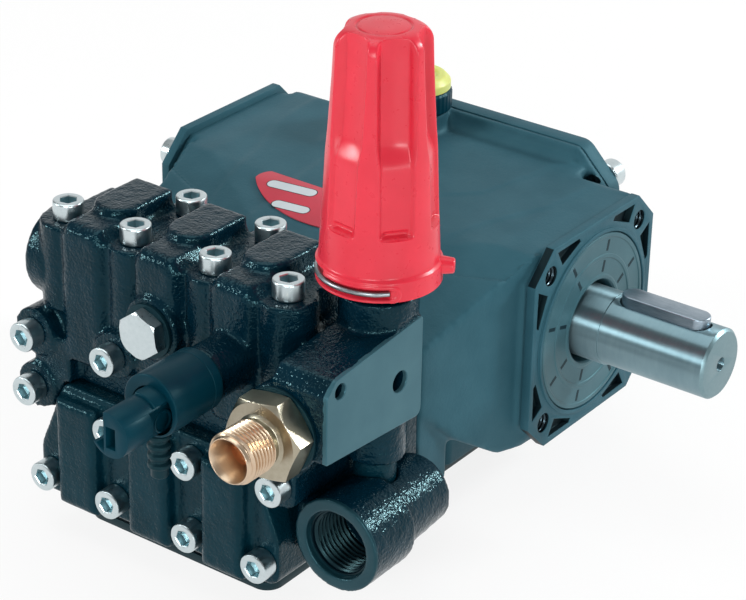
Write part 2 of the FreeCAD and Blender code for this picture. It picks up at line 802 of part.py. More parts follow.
def make_head():
    left = mid_plane_x - head_half
    right = mid_plane_x + head_half
    pieces = [box(left, right, head_front_y, head_back_y, head_split_z, head_seat_z),
              box(mid_plane_x - head_neck_half, mid_plane_x + head_neck_half, cover_rear_y, case_front_y,
                  head_neck_bottom_z, head_neck_top_z),
              box(mid_plane_x - case_throat_half, mid_plane_x + case_throat_half, head_plate_y, case_front_y,
                  case_throat_bottom_z, head_neck_top_z),
              box(right - past, block_inner_x, head_front_y + bridge_inset, head_back_y - bridge_inset,
                  block_low_front_z, block_top_front_z - bridge_inset)]
    for x in column_x:
        pieces.append(rod(column_r, (x, column_y, column_foot_z), head_seat_z - column_foot_z, "z"))
    for x in inner_column_x:
        pieces.append(rod(column_r, (x, rear_screw_y, column_foot_z), head_seat_z - column_foot_z, "z"))
    for x in cylinder_x:
        pieces += make_ridge(x)
    for x, y, z in fixing_seats:
        pieces.append(rod(ear_boss_r, (x, y, z), case_front_y - y, "y"))
    for side in (-1, 1):
        ends = sorted([mid_plane_x + side * ear_web_inner_half, mid_plane_x + side * ear_web_half])
        pieces.append(box(ends[0], ends[1], ear_web_front_y, head_back_y, ear_web_bottom_z, ear_screw_z))
    boss = rod(gallery_r, (gallery_x, gallery_y, gallery_z), left - gallery_x + past, "x")
    boss = round_edges(boss, gallery_edge_r, lambda e: e.CenterOfMass.x < gallery_x + 0.01)
    pieces.append(boss)
    pieces.append(rod(switch_boss_r, (switch_x, switch_boss_front_y, switch_z),
                      head_front_y - switch_boss_front_y + past, "y"))
    gauge_seat_y = gauge_front_y + gauge_hex_h + gauge_washer_h
    pieces.append(rod(gauge_washer_r + gauge_seat_rim, (gauge_x, gauge_seat_y, gauge_z),
                      head_front_y - gauge_seat_y + past, "y"))
    head = fuse(pieces)
    tools = []
    for point in top_seats:
        tools.append(screw_hole(point, UP))
        tools.append(seat_relief(point, UP, screw_relief_l))
    for point in fixing_seats:
        tools.append(screw_hole(point, FRONT))
        tools.append(seat_relief(point, FRONT, screw_relief_l))
    tools.append(rod(gauge_tail_r + screw_hole_gap, (gauge_x, gauge_seat_y - past, gauge_z),
                     past + gauge_tail_l + seat_gap, "y"))
    tools.append(rod(gallery_plug_r + running_gap, (gallery_x - past, gallery_y, gallery_z),
                     past + gallery_plug_depth + seat_gap, "x"))
    tools.append(valve_clearance())
    tools.append(cover_clearance())
    return cut_all(head, tools)


def valve_clearance():
    """The room that the valve's block takes on the head's right side."""
    return box(block_inner_x, reach, -reach, block_rear_y + valve_rear_gap, -reach, reach)


def cover_outline(spare, start_y, end_y, corner_r):
    """The suction cover's outline: a plate with sloping shoulders, larger all round by spare."""
    outline = even_outline([(cover_half + spare, cover_bottom_z - spare), (cover_half + spare, cover_shoulder_z),
                            (cover_top_half + spare, cover_top_z + spare)])
    return prism("y", outline, start_y, end_y, corner_r)


def cover_clearance():
    """The room in front of the head's neck that the suction cover fills."""
    return cover_outline(seat_gap, -reach, cover_rear_y, 0.0)


def make_gallery_plug():
    plug = rod(gallery_plug_r, (gallery_x - gallery_plug_h, gallery_y, gallery_z),
               gallery_plug_h + gallery_plug_depth, "x")
    socket = hexagon("x", gallery_y, gallery_z, gallery_plug_flats,
                     gallery_x - gallery_plug_h - past, gallery_x)
    return plug.cut(socket)


def make_suction_cover():
    pieces = [cover_outline(0.0, cover_front_y, cover_rear_y, cover_corner_r)]
    for x in cylinder_x:
        rib = box(x - cover_rib_half, x + cover_rib_half, cover_rib_front_y, cover_front_y + past,
                  cover_bottom_z, cover_top_z - cover_rib_drop)
        pieces.append(round_edges(rib, cover_rib_edge_r,
                                  lambda e: e.CenterOfMass.y < cover_rib_front_y + 0.01))
    cover = fuse(pieces)
    tools = [screw_hole(point, FRONT) for point in cover_seats]
    tools += [seat_relief(point, FRONT, screw_relief_l) for point in cover_seats]
    for x, y, z in fixing_seats:
        tools.append(rod(ear_boss_r + seat_gap, (x, y - reach, z), reach + case_front_y - y, "y"))
    return cut_all(cover, tools)


def make_suction_port():
    split_y = port_front_y + port_boss_length
    boss = rod(port_boss_r, (port_x, port_front_y, port_z), port_boss_length, "y")
    rear = cone(port_waist_r, port_rear_r, (port_x, split_y - past, port_z), port_rear_y - split_y + past, "y")
    arm = box(mid_plane_x + head_neck_half, port_x, port_arm_front_y, port_arm_rear_y,
              port_arm_bottom_z, port_arm_top_z)
    arm = round_edges(arm, port_arm_edge_r, lambda e: runs_along(e, "x"))
    arm = arm.cut(box(mid_plane_x, mid_plane_x + cover_half + seat_gap, -reach, cover_rear_y + seat_gap,
                      -reach, reach))
    riser = rod(port_riser_r, (valve_x, valve_y, port_z), port_riser_top_z - port_z, "z")
    body = fuse([boss, rear, arm, riser])
    tools = [rod(port_recess_r, (port_x, port_front_y - past, port_z), past + port_recess_depth, "y"),
             rod(port_thread_r, (port_x, port_front_y, port_z), port_recess_depth + port_thread_depth, "y"),
             rod(bottom_plug_r + seat_gap, (valve_x, valve_y, port_riser_top_z), reach, "z")]
    return cut_all(body, tools)


def make_valve_body():
    side = [(block_front_y, block_low_front_z), (block_rear_y, block_low_rear_z),
            (block_rear_y, block_top_rear_z), (block_top_corner_y, block_top_front_z),
            (block_front_y, block_nose_z)]
    block = prism("x", side, block_inner_x, valve_face_x)
    boss = rod(outlet_boss_r, (outlet_x, block_front_y, outlet_z), seat_y - 2 * seat_gap - block_front_y, "y")
    boss = boss.common(box(-reach, valve_face_x, -reach, reach, -reach, reach))
    inside = box(block_inner_x, reach, -reach, reach, -reach, reach)
    neck = rod(neck_r, (valve_x, valve_y, block_nose_z), neck_top_z - block_nose_z, "z")
    neck = neck.common(inside)
    stem = rod(stem_r, (valve_x, valve_y, neck_top_z - past), stem_top_z - neck_top_z + past, "z")
    stem = stem.common(inside)
    barrel = rod(valve_barrel_r, (valve_x, valve_y, valve_barrel_bottom_z),
                 block_nose_z - valve_barrel_bottom_z, "z")
    barrel = barrel.common(inside)
    body = fuse([block, boss, neck, stem, barrel])
    tools = [rod(face_hole_small_r, (valve_face_x - face_hole_depth, face_hole_small_y, face_hole_small_z),
                 face_hole_depth + past, "x"),
             rod(face_hole_large_r, (valve_face_x - face_hole_depth, face_hole_large_y, face_hole_large_z),
                 face_hole_depth + past, "x"),
             rod(nipple_tail_r + screw_hole_gap, (outlet_x, block_front_y - past, outlet_z),
                 past + nipple_tail_l + seat_gap, "y"),
             rod(spindle_r + running_gap, (valve_x, valve_y, stem_top_z - spindle_sunk), reach, "z")]
    for point in fixing_seats:
        tools.append(seat_relief(point, FRONT, reach))
    return cut_all(body, tools)


def make_spindle():
    return rod(spindle_r, (valve_x, valve_y, stem_top_z - spindle_sunk),
               spindle_top_z - stem_top_z + spindle_sunk, "z")


def make_bottom_plug():
    return rod(bottom_plug_r, (valve_x, valve_y, port_riser_top_z), valve_barrel_bottom_z - port_riser_top_z, "z")


def make_nipple():
    hex_back = block_front_y - nipple_ring_h
    hex_front = hex_back - nipple_hex_h
    thread_y = nipple_end_y + nipple_tip
    nut = hexagon("y", outlet_x, outlet_z, nipple_hex_flats, hex_front, hex_back, nipple_hex_turn)
    thread = rod(nipple_thread_r, (outlet_x, thread_y, outlet_z), hex_front - thread_y, "y")
    tip = cone(nipple_thread_r - nipple_tip, nipple_thread_r, (outlet_x, nipple_end_y, outlet_z), nipple_tip, "y")
    tail = rod(nipple_tail_r, (outlet_x, hex_back, outlet_z), nipple_ring_h + nipple_tail_l, "y")
    body = fuse([nut, thread, tip, tail])
    tools = [tube(nipple_thread_r + past, nipple_relief_r,
                  (outlet_x, hex_front - nipple_relief_w, outlet_z), nipple_relief_w, "y"),
             cone(nipple_cone_r, nipple_bore_r, (outlet_x, nipple_end_y, outlet_z), nipple_cone_depth, "y"),
             rod(nipple_bore_r, (outlet_x, nipple_end_y + past, outlet_z), reach, "y")]
    return cut_all(body, tools)


def make_nipple_ring():
    return tube(nipple_ring_r, nipple_tail_r + screw_hole_gap,
                (outlet_x, block_front_y - nipple_ring_h, outlet_z), nipple_ring_h, "y")


def make_gauge_plug():
    back = gauge_front_y + gauge_hex_h
    nut = hexagon("y", gauge_x, gauge_z, gauge_hex_flats, gauge_front_y, back, gauge_hex_turn)
    tail = rod(gauge_tail_r, (gauge_x, back, gauge_z), gauge_washer_h + gauge_tail_l, "y")
    return fuse([nut, tail])


def make_gauge_washer():
    return tube(gauge_washer_r, gauge_tail_r + screw_hole_gap,
                (gauge_x, gauge_front_y + gauge_hex_h, gauge_z), gauge_washer_h, "y")


def make_switch_sleeve():
    length = switch_boss_front_y - sleeve_front_y
    shell = rod(sleeve_r, (switch_x, sleeve_front_y, switch_z), length, "y")
    return shell.cut(rod(sleeve_r - sleeve_wall, (switch_x, sleeve_front_y - past, switch_z),
                         past + sleeve_recess, "y"))


def make_switch_connector():
    """A round plug whose left side is cut back to a thin lip, with a slot in its front."""
    back = sleeve_front_y + sleeve_recess
    start = (connector_x, connector_front_y, connector_z)
    body = rod(connector_r, start, back - connector_front_y, "y")
    notch = box(-reach, connector_cut_x, connector_front_y - past, sleeve_front_y - seat_gap,
                connector_lip_z, reach)
    hollow = rod(connector_r - connector_lip_thick, (connector_x, connector_front_y - past, connector_z),
                 sleeve_front_y - seat_gap - connector_front_y + past, "y")
    hollow = hollow.common(box(-reach, connector_cut_x, -reach, reach, -reach, reach))
    slot = box(connector_cut_x + connector_slot_wall, connector_slot_x, connector_front_y - past,
               connector_front_y + connector_slot_l, connector_slot_low_z, connector_slot_high_z)
    return cut_all(body, [notch, hollow, slot])


def make_grommet():
    top = switch_z - sleeve_r
    low = top - grommet_drop
    pieces = [rod(grommet_r - grommet_groove, (switch_x, grommet_y, low), grommet_drop, "z")]
    for i in range(grommet_rings):
        z = low + grommet_end + i * grommet_pitch
        pieces.append(rod(grommet_r, (switch_x, grommet_y, z), grommet_ring_h, "z"))
    return fuse(pieces).cut(rod(sleeve_r, (switch_x, sleeve_front_y, switch_z), reach, "y"))


def knob_radius(z):
    """The fluted body's outer radius at a height."""
    if z < knob_waist_z:
        share = (z - knob_bottom_z) / (knob_waist_z - knob_bottom_z)
        return knob_base_r + (knob_waist_r - knob_base_r) * share
    share = (z - knob_waist_z) / (knob_top_z - knob_waist_z)
    return knob_waist_r + (knob_top_r - knob_waist_r) * share


def knob_flute(turn, low_z, high_z, width):
    """The cutter for one flat flute that follows the body's taper between two heights."""
    heights = [z for z in (low_z, knob_waist_z, high_z) if low_z <= z <= high_z]
    floor = [(math.sqrt(knob_radius(z) ** 2 - width ** 2 / 4) - knob_flute_depth, z) for z in heights]
    outside = knob_collar_r + knob_tab_length
    profile = floor + [(outside, high_z), (outside, low_z)]
    points = [Vector(u, -width / 2, z) for u, z in profile]
    face = Part.Face(Part.makePolygon(points + points[:1]))
    flute = face.extrude(Vector(0, width, 0))
    flute.rotate(Vector(0, 0, 0), AXIS["z"], turn)
    flute.translate(Vector(valve_x, valve_y, 0))
    return flute


def make_knob():
    lower = cone(knob_base_r, knob_waist_r, (valve_x, valve_y, knob_bottom_z),
                 knob_waist_z - knob_bottom_z, "z")
    upper = cone(knob_waist_r, knob_top_r, (valve_x, valve_y, knob_waist_z), knob_top_z - knob_waist_z, "z")
    upper = round_edges(upper, knob_crown_r, lambda e: e.CenterOfMass.z > knob_top_z - 0.01
                        and e.Curve.TypeId == "Part::GeomCircle")
    collar = rod(knob_collar_r, (valve_x, valve_y, knob_bottom_z), knob_collar_h, "z")
    way = Vector(math.cos(math.radians(knob_tab_turn)), math.sin(math.radians(knob_tab_turn)), 0)
    tab = Part.makeCylinder(knob_tab_r, knob_collar_r + knob_tab_length,
                            Vector(valve_x, valve_y, knob_tab_z), way)
    body = fuse([lower, upper, collar, tab])
    tools = []
    for i in range(knob_flutes):
        turn = knob_flute_turn + 360.0 * i / knob_flutes
        tools.append(knob_flute(turn, knob_flute_low_z, knob_flute_step_z, knob_flute_width))
        tools.append(knob_flute(turn, knob_flute_step_z, knob_top_z + past, knob_flute_top_width))
    tools.append(rod(spindle_r + running_gap, (valve_x, valve_y, knob_bottom_z - past),
                     past + spindle_top_z + past - knob_bottom_z, "z"))
    tools.append(rod(knob_skirt_r, (valve_x, valve_y, knob_bottom_z - past), past + knob_skirt_depth, "z"))
    tools.append(clip_shape(clip_wire_r))
    return cut_all(body, tools)


def clip_shape(wire_r):
    ring = Part.makeTorus(clip_ring_r, wire_r, Vector(valve_x, valve_y, clip_z), AXIS["z"],
                          -180.0, 180.0, clip_sweep)
    ring.rotate(Vector(valve_x, valve_y, clip_z), AXIS["z"], clip_start)
    return ring


def make_clip():
    return clip_shape(clip_wire_r)


def make_base_plate():
    left = mid_plane_x - base_half
    right = mid_plane_x + base_half
    outline = [(left, base_front_y), (right, base_front_y), (right, base_rear_y), (left, base_rear_y)]
    plate = prism("z", outline, base_level_z, base_top_z, base_corner_r)
    holes = [rod(screw_r + screw_hole_gap, (x, y, base_level_z - past), reach, "z")
             for x in foot_x for y in foot_y]
    holes += [foot_screw_head(x, y, 0.0) for x in foot_x for y in foot_y]
    return cut_all(plate, holes)


def foot_screw_head(x, y, gap):
    """The sunk head's cone, which ends flush with the base plate's underside."""
    return cone(foot_screw_head_r + gap, screw_r + gap, (x, y, base_level_z), foot_screw_head_h, "z")


def make_foot_screws():
    """Flush screws from below through the base plate into the feet."""
    screws = []
    for x in foot_x:
        for y in foot_y:
            shank = rod(screw_r, (x, y, base_level_z), foot_screw_length, "z")
            socket = hexagon("z", x, y, foot_screw_flats, base_level_z - past, base_level_z + foot_socket_depth)
            screws.append(fuse([shank, foot_screw_head(x, y, 0.0)]).cut(socket))
    return make_many(screws)


parts = {
    "crankcase": make_crankcase(),
    "crankcase_feet": make_feet(),
    "drive_flange": make_drive_flange(),
    "shaft_seal": make_shaft_seal(),
    "crankshaft": make_crankshaft(),
    "shaft_key": make_shaft_key(),
    "blind_side_cover": make_blind_cover(),
    "blind_cover_screws": make_many([screw(p, LEFT) for p in blind_seats]),
    "rear_cover": make_rear_cover(),
    "rear_cover_screws": make_many([screw(p, REAR) for p in rear_seats]),
    "oil_sight_glass": make_sight_glass(),
    "oil_drain_plug": make_drain_plug(),
    "oil_filler_collar": make_filler_collar(),
    "oil_filler_cap": make_filler_cap(),
    "rating_plate": make_rating_plate(),
    "pump_head": make_head(),
    "head_top_screws": make_many([screw(p, UP) for p in top_seats]),
    "head_fixing_screws": make_many([screw(p, FRONT) for p in fixing_seats]),
    "gallery_plug": make_gallery_plug(),
    "suction_cover": make_suction_cover(),
    "suction_cover_screws": make_many([screw(p, FRONT) for p in cover_seats]),
    "suction_port": make_suction_port(),
    "unloader_body": make_valve_body(),
    "unloader_spindle": make_spindle(),
    "unloader_bottom_plug": make_bottom_plug(),
    "outlet_nipple": make_nipple(),
    "nipple_sealing_ring": make_nipple_ring(),
    "gauge_port_plug": make_gauge_plug(),
    "gauge_plug_washer": make_gauge_washer(),
    "pressure_switch_sleeve": make_switch_sleeve(),
    "pressure_switch_connector": make_switch_connector(),
    "cable_grommet": make_grommet(),
    "unloader_knob": make_knob(),
    "knob_clip": make_clip(),
    "base_plate": make_base_plate(),
    "foot_screws": make_foot_screws(),
}

os.makedirs("parts", exist_ok=True)
for name, shape in parts.items():
    shape.exportStep("parts/" + name + ".step")
    print(name, len(shape.Solids), round(shape.Volume), shape.isValid())
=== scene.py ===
import bpy, bmesh
import math
from mathutils import Matrix, Vector, noise


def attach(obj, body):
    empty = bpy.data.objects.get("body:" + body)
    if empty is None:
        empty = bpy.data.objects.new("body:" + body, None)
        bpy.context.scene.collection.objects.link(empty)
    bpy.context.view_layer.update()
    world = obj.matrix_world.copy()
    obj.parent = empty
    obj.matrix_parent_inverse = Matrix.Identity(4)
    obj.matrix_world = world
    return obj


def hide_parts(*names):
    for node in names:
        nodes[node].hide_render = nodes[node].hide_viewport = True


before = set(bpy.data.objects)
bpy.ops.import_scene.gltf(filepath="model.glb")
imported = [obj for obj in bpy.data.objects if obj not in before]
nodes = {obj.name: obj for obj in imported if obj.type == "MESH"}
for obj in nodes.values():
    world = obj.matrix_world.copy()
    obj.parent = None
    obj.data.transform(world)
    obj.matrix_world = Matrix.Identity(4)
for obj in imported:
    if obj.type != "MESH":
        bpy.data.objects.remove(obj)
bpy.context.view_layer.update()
MM = 0.001
TAU = 2.0 * math.pi

# Places in millimetres, as in the part's source: x, or the two directions across the piece's axis
MID_X = -76.4
SHAFT = (0.0, 0.0)
VALVE = (-12.1, -104.4)
OUTLET = (-17.1, 18.5)
PORT = (-8.3, -26.4)
FLOOR_Z = -59.0


# ------------------------------------------------------------------ materials
# The tints of the glints on the blue-grey case and on the black parts
CASE_SHEEN = (0.40, 0.86, 1.0)
BLACK_SHEEN = (0.42, 0.92, 1.0)
EVEN = (1.0, 1.0, 1.0)


def new_material(name):
    material = bpy.data.materials.new(name)
    material.use_nodes = True
    tree = material.node_tree
    return material, tree, tree.nodes["Principled BSDF"]


def coords(tree, scale=EVEN):
    source = tree.nodes.new("ShaderNodeTexCoord")
    mapping = tree.nodes.new("ShaderNodeMapping")
    mapping.inputs["Scale"].default_value = scale
    tree.links.new(source.outputs["Object"], mapping.inputs["Vector"])
    return mapping.outputs["Vector"]


def noise_node(tree, vector, scale, detail, roughness=0.55):
    node = tree.nodes.new("ShaderNodeTexNoise")
    node.inputs["Scale"].default_value = scale
    node.inputs["Detail"].default_value = detail
    node.inputs["Roughness"].default_value = roughness
    tree.links.new(vector, node.inputs["Vector"])
    return node.outputs["Fac"]


def blended(tree, factor, low, dark, high, light):
    """A colour that runs from dark at the low factor to light at the high one."""
    node = tree.nodes.new("ShaderNodeValToRGB")
    for element, place, colour in zip(node.color_ramp.elements, (low, high), (dark, light)):
        element.position = place
        element.color = (*colour, 1.0)
    tree.links.new(factor, node.inputs["Fac"])
    return node.outputs["Color"]


def scaled(tree, value, low, high):
    """The value, from 0 to 1, set between low and high."""
    node = tree.nodes.new("ShaderNodeMapRange")
    node.inputs["To Min"].default_value = low
    node.inputs["To Max"].default_value = high
    tree.links.new(value, node.inputs["Value"])
    return node.outputs["Result"]


def bump(tree, height, depth, normal=None):
    """Relief of a depth in millimetres, on top of the normal if one is given."""
    node = tree.nodes.new("ShaderNodeBump")
    node.inputs["Strength"].default_value = 1.0
    node.inputs["Distance"].default_value = depth * MM
    tree.links.new(height, node.inputs["Height"])
    if normal is not None:
        tree.links.new(normal, node.inputs["Normal"])
    return node.outputs["Normal"]


def coating(name, dark, light, rough, grain, depth, lumps, specular, metallic=0.0, sheen=CASE_SHEEN, octaves=3.0):
    """A paint or casting skin: colour clouds, fine grain and larger lumps, both with a depth in millimetres."""
    material, tree, shader = new_material(name)
    vector = coords(tree)
    cloud = noise_node(tree, vector, 60.0, 3.0)
    tree.links.new(blended(tree, cloud, 0.3, dark, 0.7, light), shader.inputs["Base Color"])
    fine = noise_node(tree, vector, grain, octaves, 0.5)
    normal = bump(tree, fine, depth)
    if lumps:
        coarse = noise_node(tree, vector, grain * 0.33, 1.0, 0.5)
        normal = bump(tree, coarse, lumps, normal)
    tree.links.new(normal, shader.inputs["Normal"])
    tree.links.new(scaled(tree, fine, *rough), shader.inputs["Roughness"])
    shader.inputs["Specular IOR Level"].default_value = specular
    shader.inputs["Specular Tint"].default_value = (*sheen, 1.0)
    shader.inputs["Metallic"].default_value = metallic
    return material


def metal(name, dark, light, rough, grain, depth, stretch=EVEN, anisotropic=0.0):
    """Bare metal with streaks that run along the axes for which stretch is small.

    An anisotropic one is ground in rings about X, as a shaft is.
    """
    material, tree, shader = new_material(name)
    vector = coords(tree, stretch)
    streak = noise_node(tree, vector, grain, 5.0, 0.6)
    cloud = noise_node(tree, coords(tree), 90.0, 3.0)
    mixer = tree.nodes.new("ShaderNodeMath")
    mixer.operation = "ADD"
    mixer.use_clamp = True
    tree.links.new(scaled(tree, streak, 0.0, 0.55), mixer.inputs[0])
    tree.links.new(scaled(tree, cloud, 0.0, 0.45), mixer.inputs[1])
    tree.links.new(blended(tree, mixer.outputs[0], 0.25, dark, 0.75, light), shader.inputs["Base Color"])
    tree.links.new(scaled(tree, streak, *rough), shader.inputs["Roughness"])
    tree.links.new(bump(tree, streak, depth), shader.inputs["Normal"])
    shader.inputs["Metallic"].default_value = 1.0
    if anisotropic:
        shader.inputs["Anisotropic"].default_value = anisotropic
        shader.inputs["Anisotropic Rotation"].default_value = 0.25
        around = tree.nodes.new("ShaderNodeTangent")
        around.direction_type = "RADIAL"
        around.axis = "X"
        tree.links.new(around.outputs["Tangent"], shader.inputs["Tangent"])
    return material


def plastic(name, dark, light, rough, grain, depth, specular=0.5, subsurface=0.0, coat=0.0):
    """A moulded or printed surface with faint clouds and a fine skin; a bluish one has bluish glints."""
    material, tree, shader = new_material(name)
    if light[0] < light[2]:
        shader.inputs["Specular Tint"].default_value = (*BLACK_SHEEN, 1.0)
    vector = coords(tree)
    cloud = noise_node(tree, vector, 55.0, 4.0, 0.6)
    tree.links.new(blended(tree, cloud, 0.3, dark, 0.7, light), shader.inputs["Base Color"])
    fine = noise_node(tree, vector, grain, 3.0)
    tree.links.new(scaled(tree, fine, *rough), shader.inputs["Roughness"])
    tree.links.new(bump(tree, fine, depth), shader.inputs["Normal"])
    shader.inputs["Specular IOR Level"].default_value = specular
    shader.inputs["Subsurface Weight"].default_value = subsurface
    shader.inputs["Subsurface Radius"].default_value = (0.002, 0.0006, 0.0004)
    shader.inputs["Coat Weight"].default_value = coat
    return material


case_paint = coating("case_paint", (0.018, 0.068, 0.092), (0.028, 0.088, 0.116), (0.5, 0.66),
                     1500.0, 0.06, 0.06, 0.40)
black_cast = coating("black_cast", (0.0004, 0.009, 0.017), (0.0008, 0.014, 0.026), (0.12, 0.22),
                     1100.0, 0.24, 0.22, 0.26, 0.0, BLACK_SHEEN, 1.0)
black_satin = coating("black_satin", (0.0004, 0.013, 0.022), (0.0009, 0.020, 0.032), (0.18, 0.30),
                      1100.0, 0.18, 0.20, 0.22, 0.0, BLACK_SHEEN, 1.0)
black_smooth = coating("black_smooth", (0.003, 0.020, 0.029), (0.006, 0.029, 0.039), (0.28, 0.38),
                       1600.0, 0.012, 0.02, 0.5)
face_paint = coating("machined_face", (0.030, 0.085, 0.108), (0.044, 0.108, 0.132), (0.34, 0.44),
                     2200.0, 0.006, 0.0, 0.5, 0.2)

zinc = metal("zinc_plate", (0.50, 0.58, 0.60), (0.66, 0.73, 0.75), (0.24, 0.34), 700.0, 0.0004)
ground = metal("ground_steel", (0.18, 0.28, 0.32), (0.25, 0.365, 0.405), (0.34, 0.40), 300.0, 0.0003,
               (2.0, 0.4, 0.4), 0.95)
faced_steel = metal("faced_steel", (0.17, 0.27, 0.30), (0.24, 0.35, 0.38), (0.36, 0.46), 900.0, 0.0006)
socket_steel = metal("socket_steel", (0.32, 0.46, 0.49), (0.48, 0.62, 0.66), (0.26, 0.36), 500.0, 0.0004)
key_steel = metal("key_steel", (0.20, 0.26, 0.31), (0.42, 0.49, 0.55), (0.3, 0.42), 500.0, 0.003, (0.5, 4.0, 4.0))
# Steel darkened to near black: painted shade inside the deep bolt holes
shaded_hole_steel = metal("shaded_hole_steel", (0.03, 0.05, 0.06), (0.07, 0.10, 0.12), (0.22, 0.32), 500.0, 0.0006)
wire_steel = metal("spring_wire", (0.22, 0.24, 0.26), (0.42, 0.45, 0.47), (0.3, 0.4), 900.0, 0.0004)
brass = metal("nipple_brass", (0.58, 0.42, 0.29), (0.70, 0.56, 0.42), (0.26, 0.36), 500.0, 0.0006, (0.6, 5.0, 0.6))
pale_brass = metal("hexagon_brass", (0.34, 0.30, 0.22), (0.47, 0.43, 0.34), (0.26, 0.36), 500.0, 0.0006)
copper = metal("bore_copper", (0.68, 0.42, 0.26), (0.80, 0.52, 0.34), (0.3, 0.42), 500.0, 0.0006)

red = plastic("knob_red", (0.62, 0.018, 0.038), (0.70, 0.024, 0.049), (0.25, 0.32), 450.0, 0.0012, 0.44, 0.1)
yellow = plastic("cap_yellow", (0.58, 0.60, 0.13), (0.70, 0.72, 0.22), (0.34, 0.46), 700.0, 0.01, 0.5, 0.1)
black_plastic = plastic("black_plastic", (0.0005, 0.022, 0.036), (0.001, 0.030, 0.048), (0.32, 0.42), 900.0, 0.01,
                        0.16)
# Near black, darker than the casting: painted shade inside the suction port
shaded_port_thread = plastic("shaded_port_thread", (0.0006, 0.004, 0.008), (0.001, 0.007, 0.012), (0.3, 0.4), 900.0, 0.004, 0.35)
rubber = plastic("black_rubber", (0.0008, 0.010, 0.016), (0.0016, 0.016, 0.024), (0.42, 0.55), 1100.0, 0.02, 0.3)
seal_face = plastic("seal_rubber", (0.030, 0.080, 0.100), (0.044, 0.104, 0.126), (0.40, 0.52), 1500.0, 0.012)
label_red = plastic("label_red", (0.45, 0.022, 0.045), (0.55, 0.032, 0.06), (0.36, 0.46), 900.0, 0.003, 0.45)
label_pale = plastic("label_pale", (0.50, 0.53, 0.55), (0.60, 0.62, 0.64), (0.4, 0.5), 900.0, 0.002)
mark_dark = plastic("mark_dark", (0.001, 0.008, 0.014), (0.003, 0.014, 0.022), (0.5, 0.6), 900.0, 0.01, 0.3)
# Near black: painted shade for deep pockets, holes and openings
painted_shade = plastic("painted_shade", (0.0008, 0.0025, 0.005), (0.0015, 0.004, 0.007), (0.45, 0.6), 900.0, 0.01, 0.25)
sheet = plastic("sheet_black", (0.0012, 0.005, 0.009), (0.003, 0.009, 0.014), (0.38, 0.5), 1300.0, 0.006, 0.42)
lens = plastic("sight_lens", (0.30, 0.31, 0.20), (0.36, 0.37, 0.25), (0.08, 0.14), 400.0, 0.004, 0.5, 0.0, 0.6)


# ------------------------------------------------------------------ helpers
def link(obj):
    bpy.context.scene.collection.objects.link(obj)
    return obj


def shade(mesh, angle):
    mesh.polygons.foreach_set("use_smooth", [True] * len(mesh.polygons))
    mesh.set_sharp_from_angle(angle=math.radians(angle))
    mesh.update()


def settle(obj, material, body, replaced, angle):
    """Gives a finished piece its material, if it has none, its shading and body, and hides the parts it replaces."""
    mesh = obj.data
    if not mesh.materials:
        mesh.materials.append(material)
    shade(mesh, angle)
    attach(obj, body)
    if replaced:
        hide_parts(*replaced)
    return obj


def given(obj, *materials):
    """Gives an object its list of materials."""
    for material in materials:
        obj.data.materials.append(material)


def recoloured(obj, chosen):
    """Sets the second material on the faces for which chosen(face) holds."""
    for polygon in obj.data.polygons:
        if chosen(polygon):
            polygon.material_index = 1


def from_points(name, verts, faces):
    """A mesh object from points in millimetres."""
    mesh = bpy.data.meshes.new(name)
    mesh.from_pydata([(x * MM, y * MM, z * MM) for x, y, z in verts], [], faces)
    mesh.validate()
    return link(bpy.data.objects.new(name, mesh))


WELD = 5e-8


class Solid:
    """Collects points in millimetres, and faces that each have the number of their material."""

    def __init__(self):
        self.verts = []
        self.faces = []
        self.marks = []

    def rings(self, rings, closed=True, cap_start=True, cap_end=True, mark=0):
        """Joins rings of points into a skin; each ring has the same number of points."""
        count = len(rings[0])
        base = len(self.verts)
        for ring in rings:
            self.verts.extend(ring)
        for i in range(len(rings) - 1):
            for j in range(count if closed else count - 1):
                a = base + i * count + j
                b = base + i * count + (j + 1) % count
                self.faces.append((a, b, b + count, a + count))
                self.marks.append(mark)
        if cap_start:
            self.faces.append(tuple(base + j for j in reversed(range(count))))
            self.marks.append(mark)
        if cap_end:
            last = base + (len(rings) - 1) * count
            self.faces.append(tuple(last + j for j in range(count)))
            self.marks.append(mark)

    def make(self, name, materials=()):
        """The mesh object; skins that share a rim are welded."""
        obj = from_points(name, self.verts, self.faces)
        given(obj, *materials)
        if len(materials) > 1:
            for polygon, mark in zip(obj.data.polygons, self.marks):
                polygon.material_index = mark
        bm = bmesh.new()
        bm.from_mesh(obj.data)
        bmesh.ops.remove_doubles(bm, verts=bm.verts, dist=WELD)
        bmesh.ops.recalc_face_normals(bm, faces=bm.faces)
        bm.to_mesh(obj.data)
        bm.free()
        return obj


def spot(axis, centre, radius, angle, along):
    """A point on a circle about an axis; the angle starts at the first cross direction."""
    u, v = radius * math.cos(angle), radius * math.sin(angle)
    if axis == "x":
        return (along, centre[0] + u, centre[1] + v)
    if axis == "y":
        return (centre[0] + u, along, centre[1] + v)
    return (centre[0] + u, centre[1] + v, along)


def circle(axis, centre, radius, along, count):
    """A ring of points on a circle about an axis."""
    return [spot(axis, centre, radius, TAU * j / count, along) for j in range(count)]


def turned(axis, centre, profile, count):
    """The rings of a plain turned shape."""
    return [circle(axis, centre, radius, along, count) for radius, along in profile]


